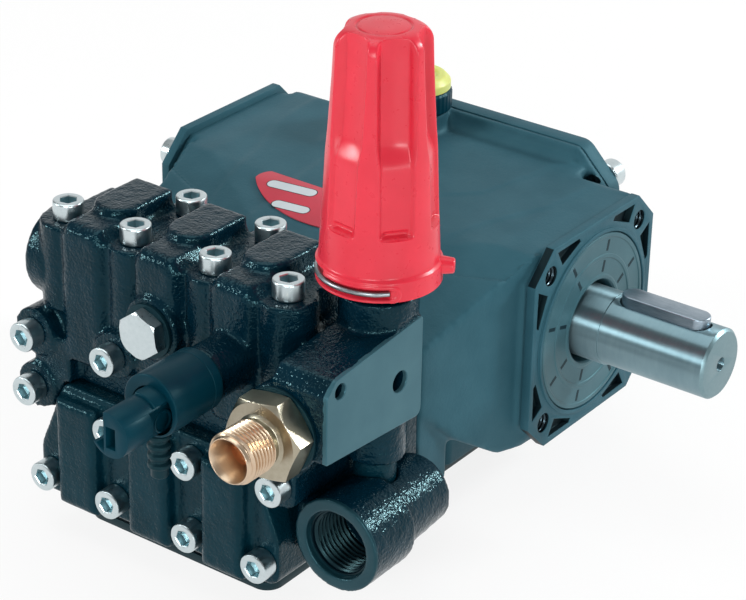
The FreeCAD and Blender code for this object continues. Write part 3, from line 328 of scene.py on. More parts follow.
def softened(profile, default=0.3, steps=3):
    """Rounds the corners of a (radius, along) profile; a third number is that corner's own radius."""
    out = [profile[0][:2]]
    for i in range(1, len(profile) - 1):
        r = profile[i][2] if len(profile[i]) > 2 else default
        here = Vector(profile[i][:2])
        before = Vector(profile[i - 1][:2]) - here
        after = Vector(profile[i + 1][:2]) - here
        if r <= 0 or before.length < 1e-6 or after.length < 1e-6:
            out.append(tuple(here))
            continue
        half = 0.5 * before.angle(after)
        if half > 1.55:
            out.append(tuple(here))
            continue
        back = min(r / math.tan(half), 0.48 * before.length, 0.48 * after.length)
        start = here + before.normalized() * back
        end = here + after.normalized() * back
        for k in range(steps + 1):
            t = k / steps
            out.append(tuple(start * (1 - t) ** 2 + here * (2 * t * (1 - t)) + end * t ** 2))
    out.append(profile[-1][:2])
    return out


def lathe(solid, axis, centre, profile, segments, cap_start=False, cap_end=False, mark=0, radius_at=None):
    """Turns a (radius, along) profile; radius_at(radius, angle) may change it."""
    rings = []
    for radius, along in profile:
        ring = []
        for j in range(segments):
            angle = TAU * j / segments
            r = radius_at(radius, angle) if radius_at else radius
            ring.append(spot(axis, centre, max(r, 0.001), angle, along))
        rings.append(ring)
    solid.rings(rings, True, cap_start, cap_end, mark)


def hex_radius(flats, angle, turn):
    """The radius of a hexagon, flats across, at an angle; turn is in degrees."""
    local = (angle - math.radians(turn)) % (TAU / 6)
    return 0.5 * flats / math.cos(local - TAU / 12)


def hexagonal(flats, turn):
    """What keeps a turned shape within a hexagon."""
    return lambda radius, angle: min(radius, hex_radius(flats, angle, turn))


def smoothstep(low, high, value):
    """Runs smoothly from 0 at low to 1 at high, whichever of them is the larger."""
    t = min(max((value - low) / (high - low), 0.0), 1.0)
    return t * t * (3.0 - 2.0 * t)


def between(points, at):
    """The value at a place on a line of (place, value) points, even beyond its ends."""
    for (p0, v0), (p1, v1) in zip(points, points[1:]):
        if p0 <= at <= p1:
            return v0 + (v1 - v0) * (at - p0) / (p1 - p0)
    return points[0][1] if at < points[0][0] else points[-1][1]


def copy_of(node, name):
    """A copy of a solid from the frame, without materials."""
    obj = bpy.data.objects.new(name, nodes[node].data.copy())
    obj.data.materials.clear()
    return link(obj)


def applied(obj):
    """Puts the result of an object's modifiers in its mesh."""
    depsgraph = bpy.context.evaluated_depsgraph_get()
    mesh = bpy.data.meshes.new_from_object(obj.evaluated_get(depsgraph))
    obj.modifiers.clear()
    old = obj.data
    obj.data = mesh
    bpy.data.meshes.remove(old)


def remeshed(obj, voxel, smooth):
    """One closed skin round everything in the mesh, with its edges rounded by smoothing."""
    modifier = obj.modifiers.new("skin", "REMESH")
    modifier.mode = "VOXEL"
    modifier.voxel_size = voxel * MM
    modifier.adaptivity = 0.0
    soft = obj.modifiers.new("soft", "SMOOTH")
    soft.factor = 0.5
    soft.iterations = smooth
    applied(obj)


def carved(obj, lo, hi):
    """Takes a block out of a mesh."""
    solid = Solid()
    corners = ((lo[0], lo[1]), (hi[0], lo[1]), (hi[0], hi[1]), (lo[0], hi[1]))
    solid.rings([[(x, y, z) for x, y in corners] for z in (lo[2], hi[2])])
    tool = solid.make("carving_block")
    modifier = obj.modifiers.new("carved", "BOOLEAN")
    modifier.object = tool
    modifier.operation = "DIFFERENCE"
    modifier.solver = "EXACT"
    applied(obj)
    bpy.data.objects.remove(tool)


def softened_edges(obj, width, segments, limit):
    """Bevels the sharp edges of a mesh."""
    bm = bmesh.new()
    bm.from_mesh(obj.data)
    bmesh.ops.remove_doubles(bm, verts=bm.verts, dist=1e-6)
    bmesh.ops.dissolve_limit(bm, angle_limit=math.radians(0.5), verts=bm.verts, edges=bm.edges)
    edges = [e for e in bm.edges if len(e.link_faces) == 2 and e.calc_face_angle(0.0) > math.radians(limit)]
    bmesh.ops.bevel(bm, geom=edges, offset=width * MM, offset_type="OFFSET", segments=segments, profile=0.5,
                    affect="EDGES", clamp_overlap=True)
    bm.to_mesh(obj.data)
    bm.free()


def bevelled(node, name, width, material, body="pump_body", segments=2, limit=28.0):
    """A copy of a solid with its sharp edges softened."""
    obj = copy_of(node, name)
    softened_edges(obj, width, segments, limit)
    return settle(obj, material, body, (node,), 40.0)


def points_of(mesh):
    """The mesh's points in millimetres, and their normals."""
    return [v.co / MM for v in mesh.vertices], [v.normal.copy() for v in mesh.vertices]


def set_points(mesh, points):
    mesh.vertices.foreach_set("co", [c * MM for p in points for c in p])
    mesh.update()


def roughened(obj, size, depth, share=None):
    """Moves the points along their normals by smooth noise; share(point) may lessen it."""
    points, normals = points_of(obj.data)
    for i, (point, normal) in enumerate(zip(points, normals)):
        amount = depth if share is None else depth * share(point)
        if amount:
            points[i] = point + normal * (noise.noise(point / size) * amount)
    set_points(obj.data, points)


def piece(solid, name, materials, replaced=(), angle=32.0, body="pump_body"):
    """A finished piece from a solid's faces."""
    settle(solid.make(name, materials), materials[0], body, replaced, angle)


# --------------------------------------------------------------- socket screws
HEAD_HEIGHT = 6.0
SOCKET_FLATS = 5.0
SOCKET_TURN = 12.0
HEAD_PROFILE = softened([(3.0, -2.0), (3.0, 0.0, 0), (4.7, 0.0, 0.2), (5.0, 0.5, 0.3), (5.0, HEAD_HEIGHT, 0.75),
                         (3.2, HEAD_HEIGHT, 0.1)], 0.3, 4)


def add_screw(solid, point, way):
    """One cap screw: a turned head with a hexagon socket, and the start of its shank."""
    place = [abs(c) for c in way].index(1)
    axis, start = "xyz"[place], point[place]
    sign = 1 if sum(way) > 0 else -1
    centre = [point[i] for i in range(3) if i != place]
    count = 60
    rings = [circle(axis, centre, radius, start + sign * along, count) for radius, along in HEAD_PROFILE]
    for depth, grow in ((HEAD_HEIGHT, 0.28), (5.72, 0.0), (3.1, 0.0)):
        ring = []
        for j in range(count):
            angle = TAU * j / count
            radius = hex_radius(SOCKET_FLATS, angle, SOCKET_TURN) + grow
            ring.append(spot(axis, centre, radius, angle, start + sign * depth))
        rings.append(ring)
    rings.append(circle(axis, centre, 0.9, start + sign * 2.5, count))
    solid.rings(rings[:-2], True, True, False)
    solid.rings(rings[-3:], True, False, True, 1)


# Where the heads sit: the head's four columns, its two inner ones, and the corners of each cover
COLUMNS = [MID_X + s * h for s in (-1, 1) for h in (43.95, 15.95)]
INNER = [MID_X + s * 15.95 for s in (-1, 1)]
TOP_SEATS = [(x, -121.6, 47.6) for x in COLUMNS] + [(x, -95.0, 47.6) for x in INNER]
FIXING_SEATS = [(MID_X + s * 50.0, -133.6, t * 9.75) for s in (-1, 1) for t in (-1, 1)]
FIXING_SEATS += [(x, -133.6, 12.3) for x in INNER]
COVER_SEATS = [(x, -133.3, -39.6) for x in COLUMNS] + [(x, -133.3, -13.3) for x in INNER]
REAR_SEATS = [(MID_X + s * 52.0, 44.0, t * 29.6) for s in (-1, 1) for t in (-1, 1)]
BLIND_SEATS = [(2 * MID_X - 3.2, s * 25.6, t * 25.6) for s in (-1, 1) for t in (-1, 1)]

for node, seats, way in (("head_top_screws", TOP_SEATS, (0, 0, 1)),
                         ("head_fixing_screws", FIXING_SEATS, (0, -1, 0)),
                         ("suction_cover_screws", COVER_SEATS, (0, -1, 0)),
                         ("rear_cover_screws", REAR_SEATS, (0, 1, 0)),
                         ("blind_cover_screws", BLIND_SEATS, (-1, 0, 0))):
    solid = Solid()
    for seat in seats:
        add_screw(solid, seat, way)
    piece(solid, node + "_detail", (zinc, socket_steel), (node,), 28.0)


# ------------------------------------------------------------------ castings
case = copy_of("crankcase", "crankcase_casting")
remeshed(case, 1.15, 3)

# The soft steps on the case's top: their distances from its middle plane, along its length
STEP_LINES = ([(-60.0, 20.0), (-42.0, 21.0), (-15.0, 24.4), (-5.0, 34.4), (16.0, 39.4), (34.0, 41.4)],
              [(-60.0, 40.0), (-42.0, 43.4), (-21.0, 48.4), (0.0, 57.4), (17.0, 59.4), (34.0, 60.0)])
STEP_DROP = 0.45
STEP_WIDTH = 1.6


def case_sculpt(co):
    """How far the case's top lies below its plain form."""
    if co.z < 30.0 or co.y > 31.0 or co.y < -70.0:
        return 0.0
    out = abs(co.x - MID_X)
    fade = smoothstep(31.0, 26.0, co.y) if co.y > 26.0 else 1.0
    drops = [smoothstep(-STEP_WIDTH, STEP_WIDTH, out - between(line, co.y)) for line in STEP_LINES]
    return -fade * sum(STEP_DROP * drop for drop in drops)


points, normals = points_of(case.data)
for point, normal in zip(points, normals):
    if normal.z > 0.5:
        point.z += case_sculpt(point)
set_points(case.data, points)
settle(case, case_paint, "pump_body", ("crankcase",), 60.0)

for node, name, smooth, size, depth, material in (
        ("pump_head", "valve_head_casting", 3, 2.2, 0.10, black_cast),
        ("suction_cover", "suction_cover_casting", 4, 4.0, 0.08, black_satin)):
    casting = copy_of(node, name)
    remeshed(casting, 0.8, smooth)
    roughened(casting, size, depth)
    settle(casting, material, "pump_body", (node,), 60.0)

# The unloader's casting ends flat behind its painted face, which is a piece of its own
FACE_INSET = 0.9
VALVE_NECK_Z = 43.5
valve = copy_of("unloader_body", "unloader_casting")
remeshed(valve, 0.6, 4)
roughened(valve, 2.2, 0.12, lambda point: smoothstep(-FACE_INSET, -FACE_INSET - 0.8, point.x))
points, normals = points_of(valve.data)
for point in points:
    if point.x > -FACE_INSET and point.z < VALVE_NECK_Z:
        point.x = -FACE_INSET
set_points(valve.data, points)
settle(valve, black_cast, "pump_body", ("unloader_body",), 60.0)


def rounded(corners):
    """An outline of (u, v, radius) corners with arcs of seven points, run through in order."""
    out = []
    count, steps = len(corners), 6
    for i in range(count):
        here = Vector(corners[i][:2])
        before = (Vector(corners[i - 1][:2]) - here).normalized()
        after = (Vector(corners[(i + 1) % count][:2]) - here).normalized()
        radius = corners[i][2]
        half = 0.5 * before.angle(after)
        centre = here + (before + after).normalized() * (radius / math.sin(half))
        start = here + before * (radius / math.tan(half)) - centre
        end = here + after * (radius / math.tan(half)) - centre
        turn = start.angle_signed(end)
        for k in range(steps + 1):
            part = turn * k / steps
            c, s = math.cos(part), math.sin(part)
            out.append((centre.x + start.x * c + start.y * s, centre.y - start.x * s + start.y * c))
    return out


def inset(loop, amount):
    """The loop moved inwards by an even amount; a negative one moves it out."""
    out = []
    count = len(loop)
    area = sum(loop[i - 1][0] * loop[i][1] - loop[i][0] * loop[i - 1][1] for i in range(count))
    side = 1.0 if area > 0 else -1.0
    for i in range(count):
        a, b, c = Vector(loop[i - 1]), Vector(loop[i]), Vector(loop[(i + 1) % count])
        along = (b - a).normalized() + (c - b).normalized()
        along.normalize()
        out.append((b.x - side * along.y * amount, b.y + side * along.x * amount))
    return out


def plate_between(name, outer, holes, levels):
    """A flat plate across X with round holes: bevelled rims on its outer side, plain walls inwards."""
    low, top, rim = levels
    bm = bmesh.new()

    def ring(loop, x):
        return [bm.verts.new((x * MM, y * MM, z * MM)) for y, z in loop]

    def skin(a, b):
        for i in range(len(a)):
            bm.faces.new((a[i - 1], a[i], b[i], b[i - 1]))

    edges, back_edges = [], []
    for loop, way in [(outer, 1.0)] + [(hole, -1.0) for hole in holes]:
        rings = [ring(loop, low), ring(loop, top - rim), ring(inset(loop, way * 0.3 * rim), top - 0.3 * rim),
                 ring(inset(loop, way * rim), top)]
        for a, b in zip(rings, rings[1:]):
            skin(a, b)
        last = rings[-1]
        for i in range(len(last)):
            edges.append(bm.edges.get((last[i - 1], last[i])))
            back_edges.append(bm.edges.get((rings[0][i - 1], rings[0][i])))
    for around in (edges, back_edges):
        bmesh.ops.triangle_fill(bm, use_beauty=True, use_dissolve=False, edges=around)
    bmesh.ops.recalc_face_normals(bm, faces=bm.faces)
    mesh = bpy.data.meshes.new(name)
    bm.to_mesh(mesh)
    bm.free()
    return link(bpy.data.objects.new(name, mesh))


outline = rounded([(-145.0, 11.8, 0.8), (-98.0, 8.4, 2.6), (-98.0, 42.2, 1.2), (-141.0, 38.2, 2.2),
                   (-145.0, 34.0, 2.2)])
holes = [[(y, z) for x, y, z in circle("x", centre, radius, 0.0, 40)]
         for centre, radius in (((-138.6, 34.0), 2.5), ((-109.2, 24.4), 3.5))]
pad = plate_between("unloader_face", outline, holes, (-FACE_INSET - 0.6, 0.0, 0.35))
settle(pad, face_paint, "pump_body", (), 12.0)


# ------------------------------------------------------- suction port with thread
def thread_rings(axis, centre, start, end, minor, major, pitch, fade, count):
    """Rings of a thread's surface between two places along an axis; it fades out at both ends."""
    steps = max(2, int(abs(end - start) / pitch * 8))
    rings = []
    for i in range(steps + 1):
        along = start + (end - start) * i / steps
        near = min(abs(along - start), abs(end - along))
        grow = smoothstep(0.0, fade, near)
        ring = []
        for j in range(count):
            phase = (along / pitch + j / count) % 1.0
            height = 1.0 - abs(2.0 * phase - 1.0)
            height = smoothstep(0.12, 0.88, height)
            radius = minor + (major - minor) * height * grow
            ring.append(spot(axis, centre, radius, TAU * j / count, along))
        rings.append(ring)
    return rings


def sleeved(rings, axis, centre, radius, start, end):
    """The rings of an inner thread with a plain outer wall, as one closed sleeve."""
    count = len(rings[0])
    return rings + [circle(axis, centre, radius, along, count) for along in (end, start)] + [rings[0]]


# The solid's bore has the thread's inner radius, so it is widened to make room for the thread
PORT_THREAD = (-127.0, -111.0)
PORT_BORE = 10.75


def from_port_axis(point):
    return math.hypot(point.x - PORT[0], point.z - PORT[1])


def is_port_mouth(polygon):
    """The turned rim of the mouth, which isn't rough as the casting is."""
    co = polygon.center / MM
    return co.y < -128.0 or (co.y < -125.8 and from_port_axis(co) < 12.0)


port = copy_of("suction_port", "suction_port_casting")
points, normals = points_of(port.data)
for point in points:
    r = from_port_axis(point)
    if 9.0 < r < 9.8 and point.y < -109.0:
        point.x = PORT[0] + (point.x - PORT[0]) * PORT_BORE / r
        point.z = PORT[1] + (point.z - PORT[1]) * PORT_BORE / r
set_points(port.data, points)
remeshed(port, 0.6, 4)
roughened(port, 2.2, 0.12, lambda point: smoothstep(-128.4, -127.0, point.y))
given(port, black_cast, black_smooth)
recoloured(port, is_port_mouth)
settle(port, black_cast, "pump_body", ("suction_port",), 60.0)

solid = Solid()
# The thread is darker than the casting, as painted shade inside the port
rings = thread_rings("y", PORT, *PORT_THREAD, 10.45, 9.45, 1.814, 1.6, 96)
solid.rings(sleeved(rings, "y", PORT, 10.9, *PORT_THREAD), True, False, False)
piece(solid, "suction_port_thread", (shaded_port_thread,), (), 50.0)


# ----------------------------------------------------- plain covers and plates
HOLE = 27.0
HOLE_THREAD = (-0.7, -9.0)


def is_flange_pocket(polygon):
    """The walls of the bolt holes and of the wedge-shaped pockets between them, which get painted shade."""
    x, y, z = polygon.center.x / MM, abs(polygon.center.y / MM), abs(polygon.center.z / MM)
    in_hole = math.hypot(y - HOLE, z - HOLE) < 3.45 and x < -0.5
    in_wedge = -3.0 < x < -0.45 and max(y, z) < 35.0 and math.hypot(y, z) > 31.5
    return in_hole or in_wedge


flange = bevelled("drive_flange", "drive_flange_detail", 0.3, case_paint)
# The bolt holes and wedge pockets are painted near-black: painted shade of their depth
given(flange, painted_shade)
recoloured(flange, is_flange_pocket)
# The threads in the four holes use the darkened steel, as painted shade inside them
solid = Solid()
for centre in ((HOLE, HOLE), (HOLE, -HOLE), (-HOLE, HOLE), (-HOLE, -HOLE)):
    rings = thread_rings("x", centre, *HOLE_THREAD, 3.36, 2.9, 1.25, 0.6, 48)
    solid.rings(sleeved(rings, "x", centre, 3.39, *HOLE_THREAD), True, False, False)
piece(solid, "flange_hole_threads", (shaded_hole_steel,), (), 50.0)
bevelled("crankcase_feet", "feet_detail", 0.6, case_paint)
bevelled("blind_side_cover", "blind_cover_detail", 0.5, case_paint)
bevelled("rear_cover", "rear_cover_detail", 0.5, case_paint)
bevelled("base_plate", "base_plate_detail", 0.5, sheet)
shaft = bevelled("crankshaft", "crankshaft_detail", 0.22, ground, "crankshaft", 2, 40.0)
given(shaft, faced_steel)
recoloured(shaft, lambda polygon: polygon.normal.x > 0.6)
bevelled("shaft_key", "shaft_key_detail", 0.45, key_steel, "crankshaft", 3, 40.0)
bevelled("oil_drain_plug", "drain_plug_detail", 0.3, zinc)
bevelled("foot_screws", "foot_screws_detail", 0.15, zinc)
bevelled("gallery_plug", "gallery_plug_detail", 0.35, black_satin)
bevelled("unloader_spindle", "unloader_spindle_detail", 0.3, wire_steel)
bevelled("unloader_bottom_plug", "unloader_bottom_plug_detail", 0.3, black_satin)


# ------------------------------------------------------------------ shaft seal
SEAL_X = 0.6
OUTER_FIELD, INNER_FIELD = SEAL_X - 0.3, SEAL_X - 0.4
solid = Solid()
profile = softened([(14.3, -7.5, 0), (31.0, -7.5, 0), (31.0, SEAL_X - 1.2, 0.2), (30.5, SEAL_X, 0.3),
                    (29.2, SEAL_X, 0.3), (28.9, OUTER_FIELD, 0.1), (23.4, OUTER_FIELD, 0.1),
                    (23.1, SEAL_X - 0.1, 0.2), (22.0, SEAL_X - 0.1, 0.2), (21.7, INNER_FIELD, 0.2),
                    (16.4, INNER_FIELD, 0.3), (15.7, SEAL_X - 0.1, 0.3), (14.8, SEAL_X - 0.1, 0.3),
                    (14.3, SEAL_X - 0.8, 0.2), (14.3, -7.5, 0)])
lathe(solid, "x", SHAFT, profile, 96)
piece(solid, "shaft_seal_detail", (seal_face,), ("shaft_seal",), 40.0)

# A near-black ring deep in the seal's opening: painted shade where the shaft enters
solid = Solid()
profile = [(14.32, -6.4), (12.58, -6.0), (12.56, -6.8), (14.32, -6.8), (14.32, -6.4)]
lathe(solid, "x", SHAFT, profile, 96)
piece(solid, "shaft_seal_lip", (painted_shade,), (), 40.0)

TICKS, TICK_TURN, TICK_HALF = 8, 29.5, 0.65
solid = Solid()
for i in range(TICKS):
    for inner, outer, level in ((24.3, 28.2, OUTER_FIELD), (17.0, 21.0, INNER_FIELD)):
        angle = TAU * i / TICKS + math.radians(TICK_TURN)
        c, s = math.cos(angle), math.sin(angle)
        corners = ((inner, -TICK_HALF), (outer, -TICK_HALF), (outer, TICK_HALF), (inner, TICK_HALF))
        ring = [(r * c - side * s, r * s + side * c) for r, side in corners]
        solid.rings([[(level - 0.1, y, z) for y, z in ring], [(level + 0.03, y, z) for y, z in ring]])
piece(solid, "shaft_seal_ticks", (mark_dark,))


# --------------------------------------------------------------- outlet nipple
# The thread is G3/8. Every ring has a point on each corner of the hexagon.
HEX_BACK, HEX_FRONT, TIP = -146.2, -154.2, -168.8
NUT_FLATS, NUT_TURN, NUT_POINTS = 24.4, 7.5, 288
THREAD_FOOT = HEX_FRONT - 2.3
solid = Solid()
profile = [(7.8, HEX_BACK)] + [(12.1 + 0.2 * i, HEX_BACK - 0.09 * i) for i in range(12)]
profile += [(14.3 - 0.2 * i, HEX_FRONT + 1.1 - 0.1 * i) for i in range(12)]
profile += softened([(12.0, HEX_FRONT, 0), (8.6, HEX_FRONT, 0.3), (7.4, HEX_FRONT - 0.5, 0.4),
                     (7.4, THREAD_FOOT, 0)])
lathe(solid, "y", OUTLET, profile, NUT_POINTS, True, False, 0, hexagonal(NUT_FLATS, NUT_TURN))
rings = [circle("y", OUTLET, 7.4, THREAD_FOOT, NUT_POINTS)]
rings += thread_rings("y", OUTLET, HEX_FRONT - 2.32, TIP + 1.0, 7.45, 8.33, 1.337, 0.8, NUT_POINTS)
profile = softened([(7.5, TIP + 1.0, 0), (7.2, TIP, 0.2), (6.9, TIP, 0.1), (4.0, TIP + 6.5, 0)], 0.2, 3)
rings += turned("y", OUTLET, profile, NUT_POINTS)
solid.rings(rings, True, False, False, 1)
lathe(solid, "y", OUTLET, [(4.0, TIP + 6.5), (4.0, TIP + 12.0), (0.01, TIP + 14.0)], NUT_POINTS, False, True, 2)
piece(solid, "outlet_nipple_detail", (pale_brass, brass, copper), ("outlet_nipple",), 30.0)

solid = Solid()
profile = softened([(7.8, -145.0, 0), (13.6, -145.0, 0.3), (13.6, HEX_BACK, 0.3), (7.8, HEX_BACK, 0),
                    (7.8, -145.0, 0)])
lathe(solid, "y", OUTLET, profile, 96)
piece(solid, "nipple_ring_detail", (rubber,), ("nipple_sealing_ring",))


# ------------------------------------------------------------- gauge port plug
GAUGE = (MID_X, 26.9)
PLUG_FLATS, PLUG_TURN, PLUG_POINTS = 14.2, 37.5, 240
solid = Solid()
profile = [(4.8, -134.6), (7.2, -135.6)] + [(7.5 + 0.1 * i, -135.7 - 0.05 * i) for i in range(9)]
profile += [(8.3 - 0.1 * i, -139.3 - 0.07 * i) for i in range(9)] + [(7.38, -139.96), (7.2, -140.0), (0.01, -140.0)]
lathe(solid, "y", GAUGE, profile, PLUG_POINTS, True, True, 0, hexagonal(PLUG_FLATS, PLUG_TURN))
piece(solid, "gauge_plug_detail", (zinc,), ("gauge_port_plug",), 30.0)

solid = Solid()
profile = softened([(4.9, -134.2, 0), (9.0, -134.2, 0.3), (9.0, -135.6, 0.4), (4.9, -135.6, 0),
                    (4.9, -134.2, 0)])
lathe(solid, "y", GAUGE, profile, 72)
piece(solid, "gauge_washer_detail", (rubber,), ("gauge_plug_washer",))


# ------------------------------------------------------------- pressure switch
# The connector stands a little aside of the sleeve's middle, and so does the sleeve's mouth
SWITCH = (-46.4, 26.2)
PLUG = (-45.8, 25.0)
solid = Solid()
outside = softened([(8.0, -147.0, 0), (9.6, -147.0, 0.2), (10.0, -147.5, 0.3), (10.0, -150.6, 0.15),
                    (9.8, -150.75, 0.1), (10.0, -150.9, 0.15), (10.1, -166.0, 0.5), (10.1, -168.5, 1.3),
                    (8.9, -168.5, 0)], 0.3, 5)
inside = softened([(8.0, -168.5, 0), (7.7, -168.4, 0.2), (7.6, -167.8, 0.4), (7.6, -161.5, 0.3), (0.01, -161.5, 0)],
                  0.3, 4)
solid.rings(turned("y", SWITCH, outside, 96) + turned("y", PLUG, inside, 96))
piece(solid, "switch_sleeve_detail", (black_plastic,), ("pressure_switch_sleeve",), 40.0)

plug = copy_of("pressure_switch_connector", "switch_connector_detail")
carved(plug, (-42.9, -176.2, 10.0), (-30.0, -161.6, 29.3))
softened_edges(plug, 0.35, 2, 28.0)
settle(plug, black_plastic, "pump_body", ("pressure_switch_connector",), 40.0)

solid = Solid()
arc = [math.radians(41.0 + 60.0 * i / 16) for i in range(17)]
rings = []
for along, drop in ((-173.9, 0.5), (-173.75, 0.16), (-173.5, 0.0), (-161.7, 0.0)):
    ring = [(PLUG[0] + (8.05 - drop) * math.cos(a), along, PLUG[1] + (8.05 - drop) * math.sin(a)) for a in arc]
    ring += [(PLUG[0] + 6.9 * math.cos(a), along, PLUG[1] + 6.9 * math.sin(a)) for a in reversed(arc)]
    rings.append(ring)
solid.rings(rings)
piece(solid, "switch_latch", (black_plastic,), (), 40.0)

RING_CENTRE = (-167.2, 22.0)
solid = Solid()
profile = softened([(2.6, -43.0, 0), (3.1, -42.6, 0.2), (3.4, -42.45, 0.2), (3.7, -42.6, 0.2), (3.8, -43.0, 0),
                    (3.8, -43.4, 0), (0.01, -43.4, 0)], 0.2, 3)
lathe(solid, "x", RING_CENTRE, profile, 48, False, True)
# The ring's floor is near black: painted shade inside its opening
lathe(solid, "x", RING_CENTRE, [(2.6, -43.0), (2.58, -42.97), (0.01, -42.97)], 48, False, True, 1)
piece(solid, "switch_inner_ring", (black_plastic, painted_shade), (), 40.0)

solid = Solid()
profile = [(2.8, 17.0)]
for i in range(4):
    z = 16.2 - 3.2 * i
    profile += [(2.7, z, 0.2), (3.55, z - 0.7, 0.5), (3.65, z - 1.8, 0.5), (2.7, z - 2.4, 0.2)]
profile += [(2.7, 1.3, 0.4), (0.01, 1.1)]
lathe(solid, "z", (SWITCH[0], -165.0), softened(profile), 48, True, True)
piece(solid, "cable_grommet_detail", (rubber,), ("cable_grommet",), 50.0)


# ------------------------------------------------------------------ oil filler
FILLER = (-91.8, 26.9)
RIBS = 36


def grip(radius, angle):
    """Fine ribs on the collar's widest part."""
    return radius - (0.18 * (0.5 + 0.5 * math.cos(angle * RIBS)) if radius > 11.8 else 0.0)


solid = Solid()
profile = softened([(9.0, 44.0, 0), (11.4, 44.0, 0.2), (12.0, 44.8, 0.3), (12.0, 50.6, 0.5), (11.2, 51.6, 0.3),
                    (0.01, 51.6, 0)])
lathe(solid, "z", FILLER, profile, 6 * RIBS, True, True, 0, grip)
piece(solid, "filler_collar_detail", (black_plastic,), ("oil_filler_collar",), 40.0)

solid = Solid()
profile = softened([(11.0, 51.6, 0), (11.4, 51.9, 0.1), (11.4, 54.4, 1.2), (9.4, 56.6, 1.4), (7.2, 56.6, 0.4),
                    (6.6, 55.9, 0.4), (0.01, 55.9, 0)], 0.3, 5)
lathe(solid, "z", FILLER, profile, 96, True, True)
piece(solid, "filler_cap_detail", (yellow,), ("oil_filler_cap",), 50.0)


# ----------------------------------------------------------------- sight glass
GLASS = (MID_X, -4.0)
solid = Solid()
profile = softened([(9.0, 47.0, 0), (9.0, 51.0, 0.1), (11.0, 51.0, 0.2), (11.0, 55.0, 0.7), (8.0, 55.0, 0.4),
                    (7.5, 53.4, 0.2)])
lathe(solid, "y", GLASS, profile, 72, True)
lathe(solid, "y", GLASS, [(7.5, 53.4), (5.0, 53.75), (2.5, 53.95), (0.01, 54.0)], 72, False, True, 1)
piece(solid, "sight_glass_detail", (black_plastic, lens), ("oil_sight_glass",), 50.0)


# ------------------------------------------------------------------------ knob
KNOB_FOOT, KNOB_TOP, CROWN = 54.5, 133.0, 5.2
KNOB_RADII = [(KNOB_FOOT, 18.3), (62.0, 18.0), (73.0, 17.4), (84.0, 16.9), (95.5, 16.4), (104.5, 15.8),
              (118.0, 15.0), (127.0, 14.6), (KNOB_TOP, 14.3)]
FLUTES, FLUTE_TURN = 6, -37.0
FLUTE_FOOT = (73.2, 74.4)
FLUTE_STEP = (94.0, 102.0)
COLLAR_TOP = 61.6
KNOB_POINTS = 432


def window(value, rise, fall):
    """One between two edges, each of which is the pair of places that it spreads over."""
    return smoothstep(*rise, value) * (1.0 - smoothstep(*fall, value))


def knob_collar(z, turn):
    """The collar's radius, with the slot that the clip lies in, a lip over it and an eye at its end."""
    collar = 18.9 - 0.9 * smoothstep(60.4, COLLAR_TOP, z)
    groove = window(turn, (184.0, 188.0), (314.0, 318.0)) * window(z, (55.0, 55.7), (58.2, 58.8))
    deeper = window(turn, (202.0, 205.0), (243.0, 247.0)) * window(z, (57.4, 58.0), (59.9, 60.4))
    rim = window(turn, (244.0, 250.0), (316.0, 322.0)) * window(z, (58.6, 59.1), (59.5, 60.2))
    from_eye = math.hypot((turn - 318.0) * 0.33, z - 57.0)
    eye = (1.0 - smoothstep(0.5, 0.9, abs(from_eye - 2.0))) * smoothstep(314.0, 318.0, turn)
    return collar, 0.35 * max(rim, eye) - max(1.9 * groove, 2.0 * deeper)


def knob_skin(z, angle):
    """The knob's outer radius: a tapering body with six flutes, a step in them and a round crown."""
    radius = between(KNOB_RADII, z)
    if z > KNOB_TOP - CROWN:
        rise = (z - KNOB_TOP + CROWN) / CROWN
        radius = radius - CROWN * (1.0 - math.sqrt(max(1.0 - rise * rise, 0.0)))
    local = (angle - math.radians(FLUTE_TURN) + TAU / (2 * FLUTES)) % (TAU / FLUTES) - TAU / (2 * FLUTES)
    step = smoothstep(*FLUTE_STEP, z)
    half = 4.9 + 0.45 * step
    cone_radius = between(KNOB_RADII, min(z, 127.0))
    depth = (1.15 + 1.6 * step) * smoothstep(*FLUTE_FOOT, z)
    beside = abs(cone_radius * math.sin(local))
    hollow = 0.45 * max(1.0 - (beside / half) ** 2, 0.0) * step
    floor = (math.sqrt(cone_radius ** 2 - half ** 2) - depth - hollow) / math.cos(local)
    share = 1.0 - math.sin(0.5 * math.pi * min(max((beside - half + 0.2) / (0.9 + 0.3 * step), 0.0), 1.0))
    if depth > 0.01 and floor < radius:
        radius = radius + (floor - radius) * share
    if 73.4 < z < 76.2:
        radius = radius - 0.8 * window(z, (73.5, 74.3), (75.0, 76.1)) * (1.0 - smoothstep(3.4, 4.6, beside))
    if z < COLLAR_TOP:
        collar, relief = knob_collar(z, math.degrees(angle) % 360.0)
        radius = max(radius, collar) + relief
    return radius


# Rings lie closest at the collar, the flutes' lower ends, their step and the crown
heights = [KNOB_FOOT + 0.2 * i for i in range(34)]
heights += [61.5, 62.0, 62.6] + [63.5 + 0.9 * i for i in range(11)]
heights += [73.0 + 0.2 * i for i in range(18)]
heights += [77.0 + 1.0 * i for i in range(17)]
heights += [94.4 + 0.6 * i for i in range(13)]
heights += [102.8 + 1.0 * i for i in range(25)]
heights += [KNOB_TOP - CROWN * math.cos(math.radians(3.0 * i)) for i in range(1, 31)]
angles = [TAU * j / KNOB_POINTS for j in range(KNOB_POINTS)]
inner = [(18.2, KNOB_FOOT), (14.6, KNOB_FOOT), (14.5, 54.9), (14.5, 63.5), (6.3, 63.5), (6.1, 63.9), (6.1, 120.0),
         (0.01, 120.0)]
disc = [(8.5, KNOB_TOP), (8.35, 132.98), (8.1, 132.72), (7.95, 132.68), (7.6, 132.7), (7.4, 132.95),
        (7.2, KNOB_TOP), (3.0, KNOB_TOP), (0.01, KNOB_TOP)]
rings = turned("z", VALVE, reversed(inner), KNOB_POINTS)
heights = sorted(set(round(z, 4) for z in heights))
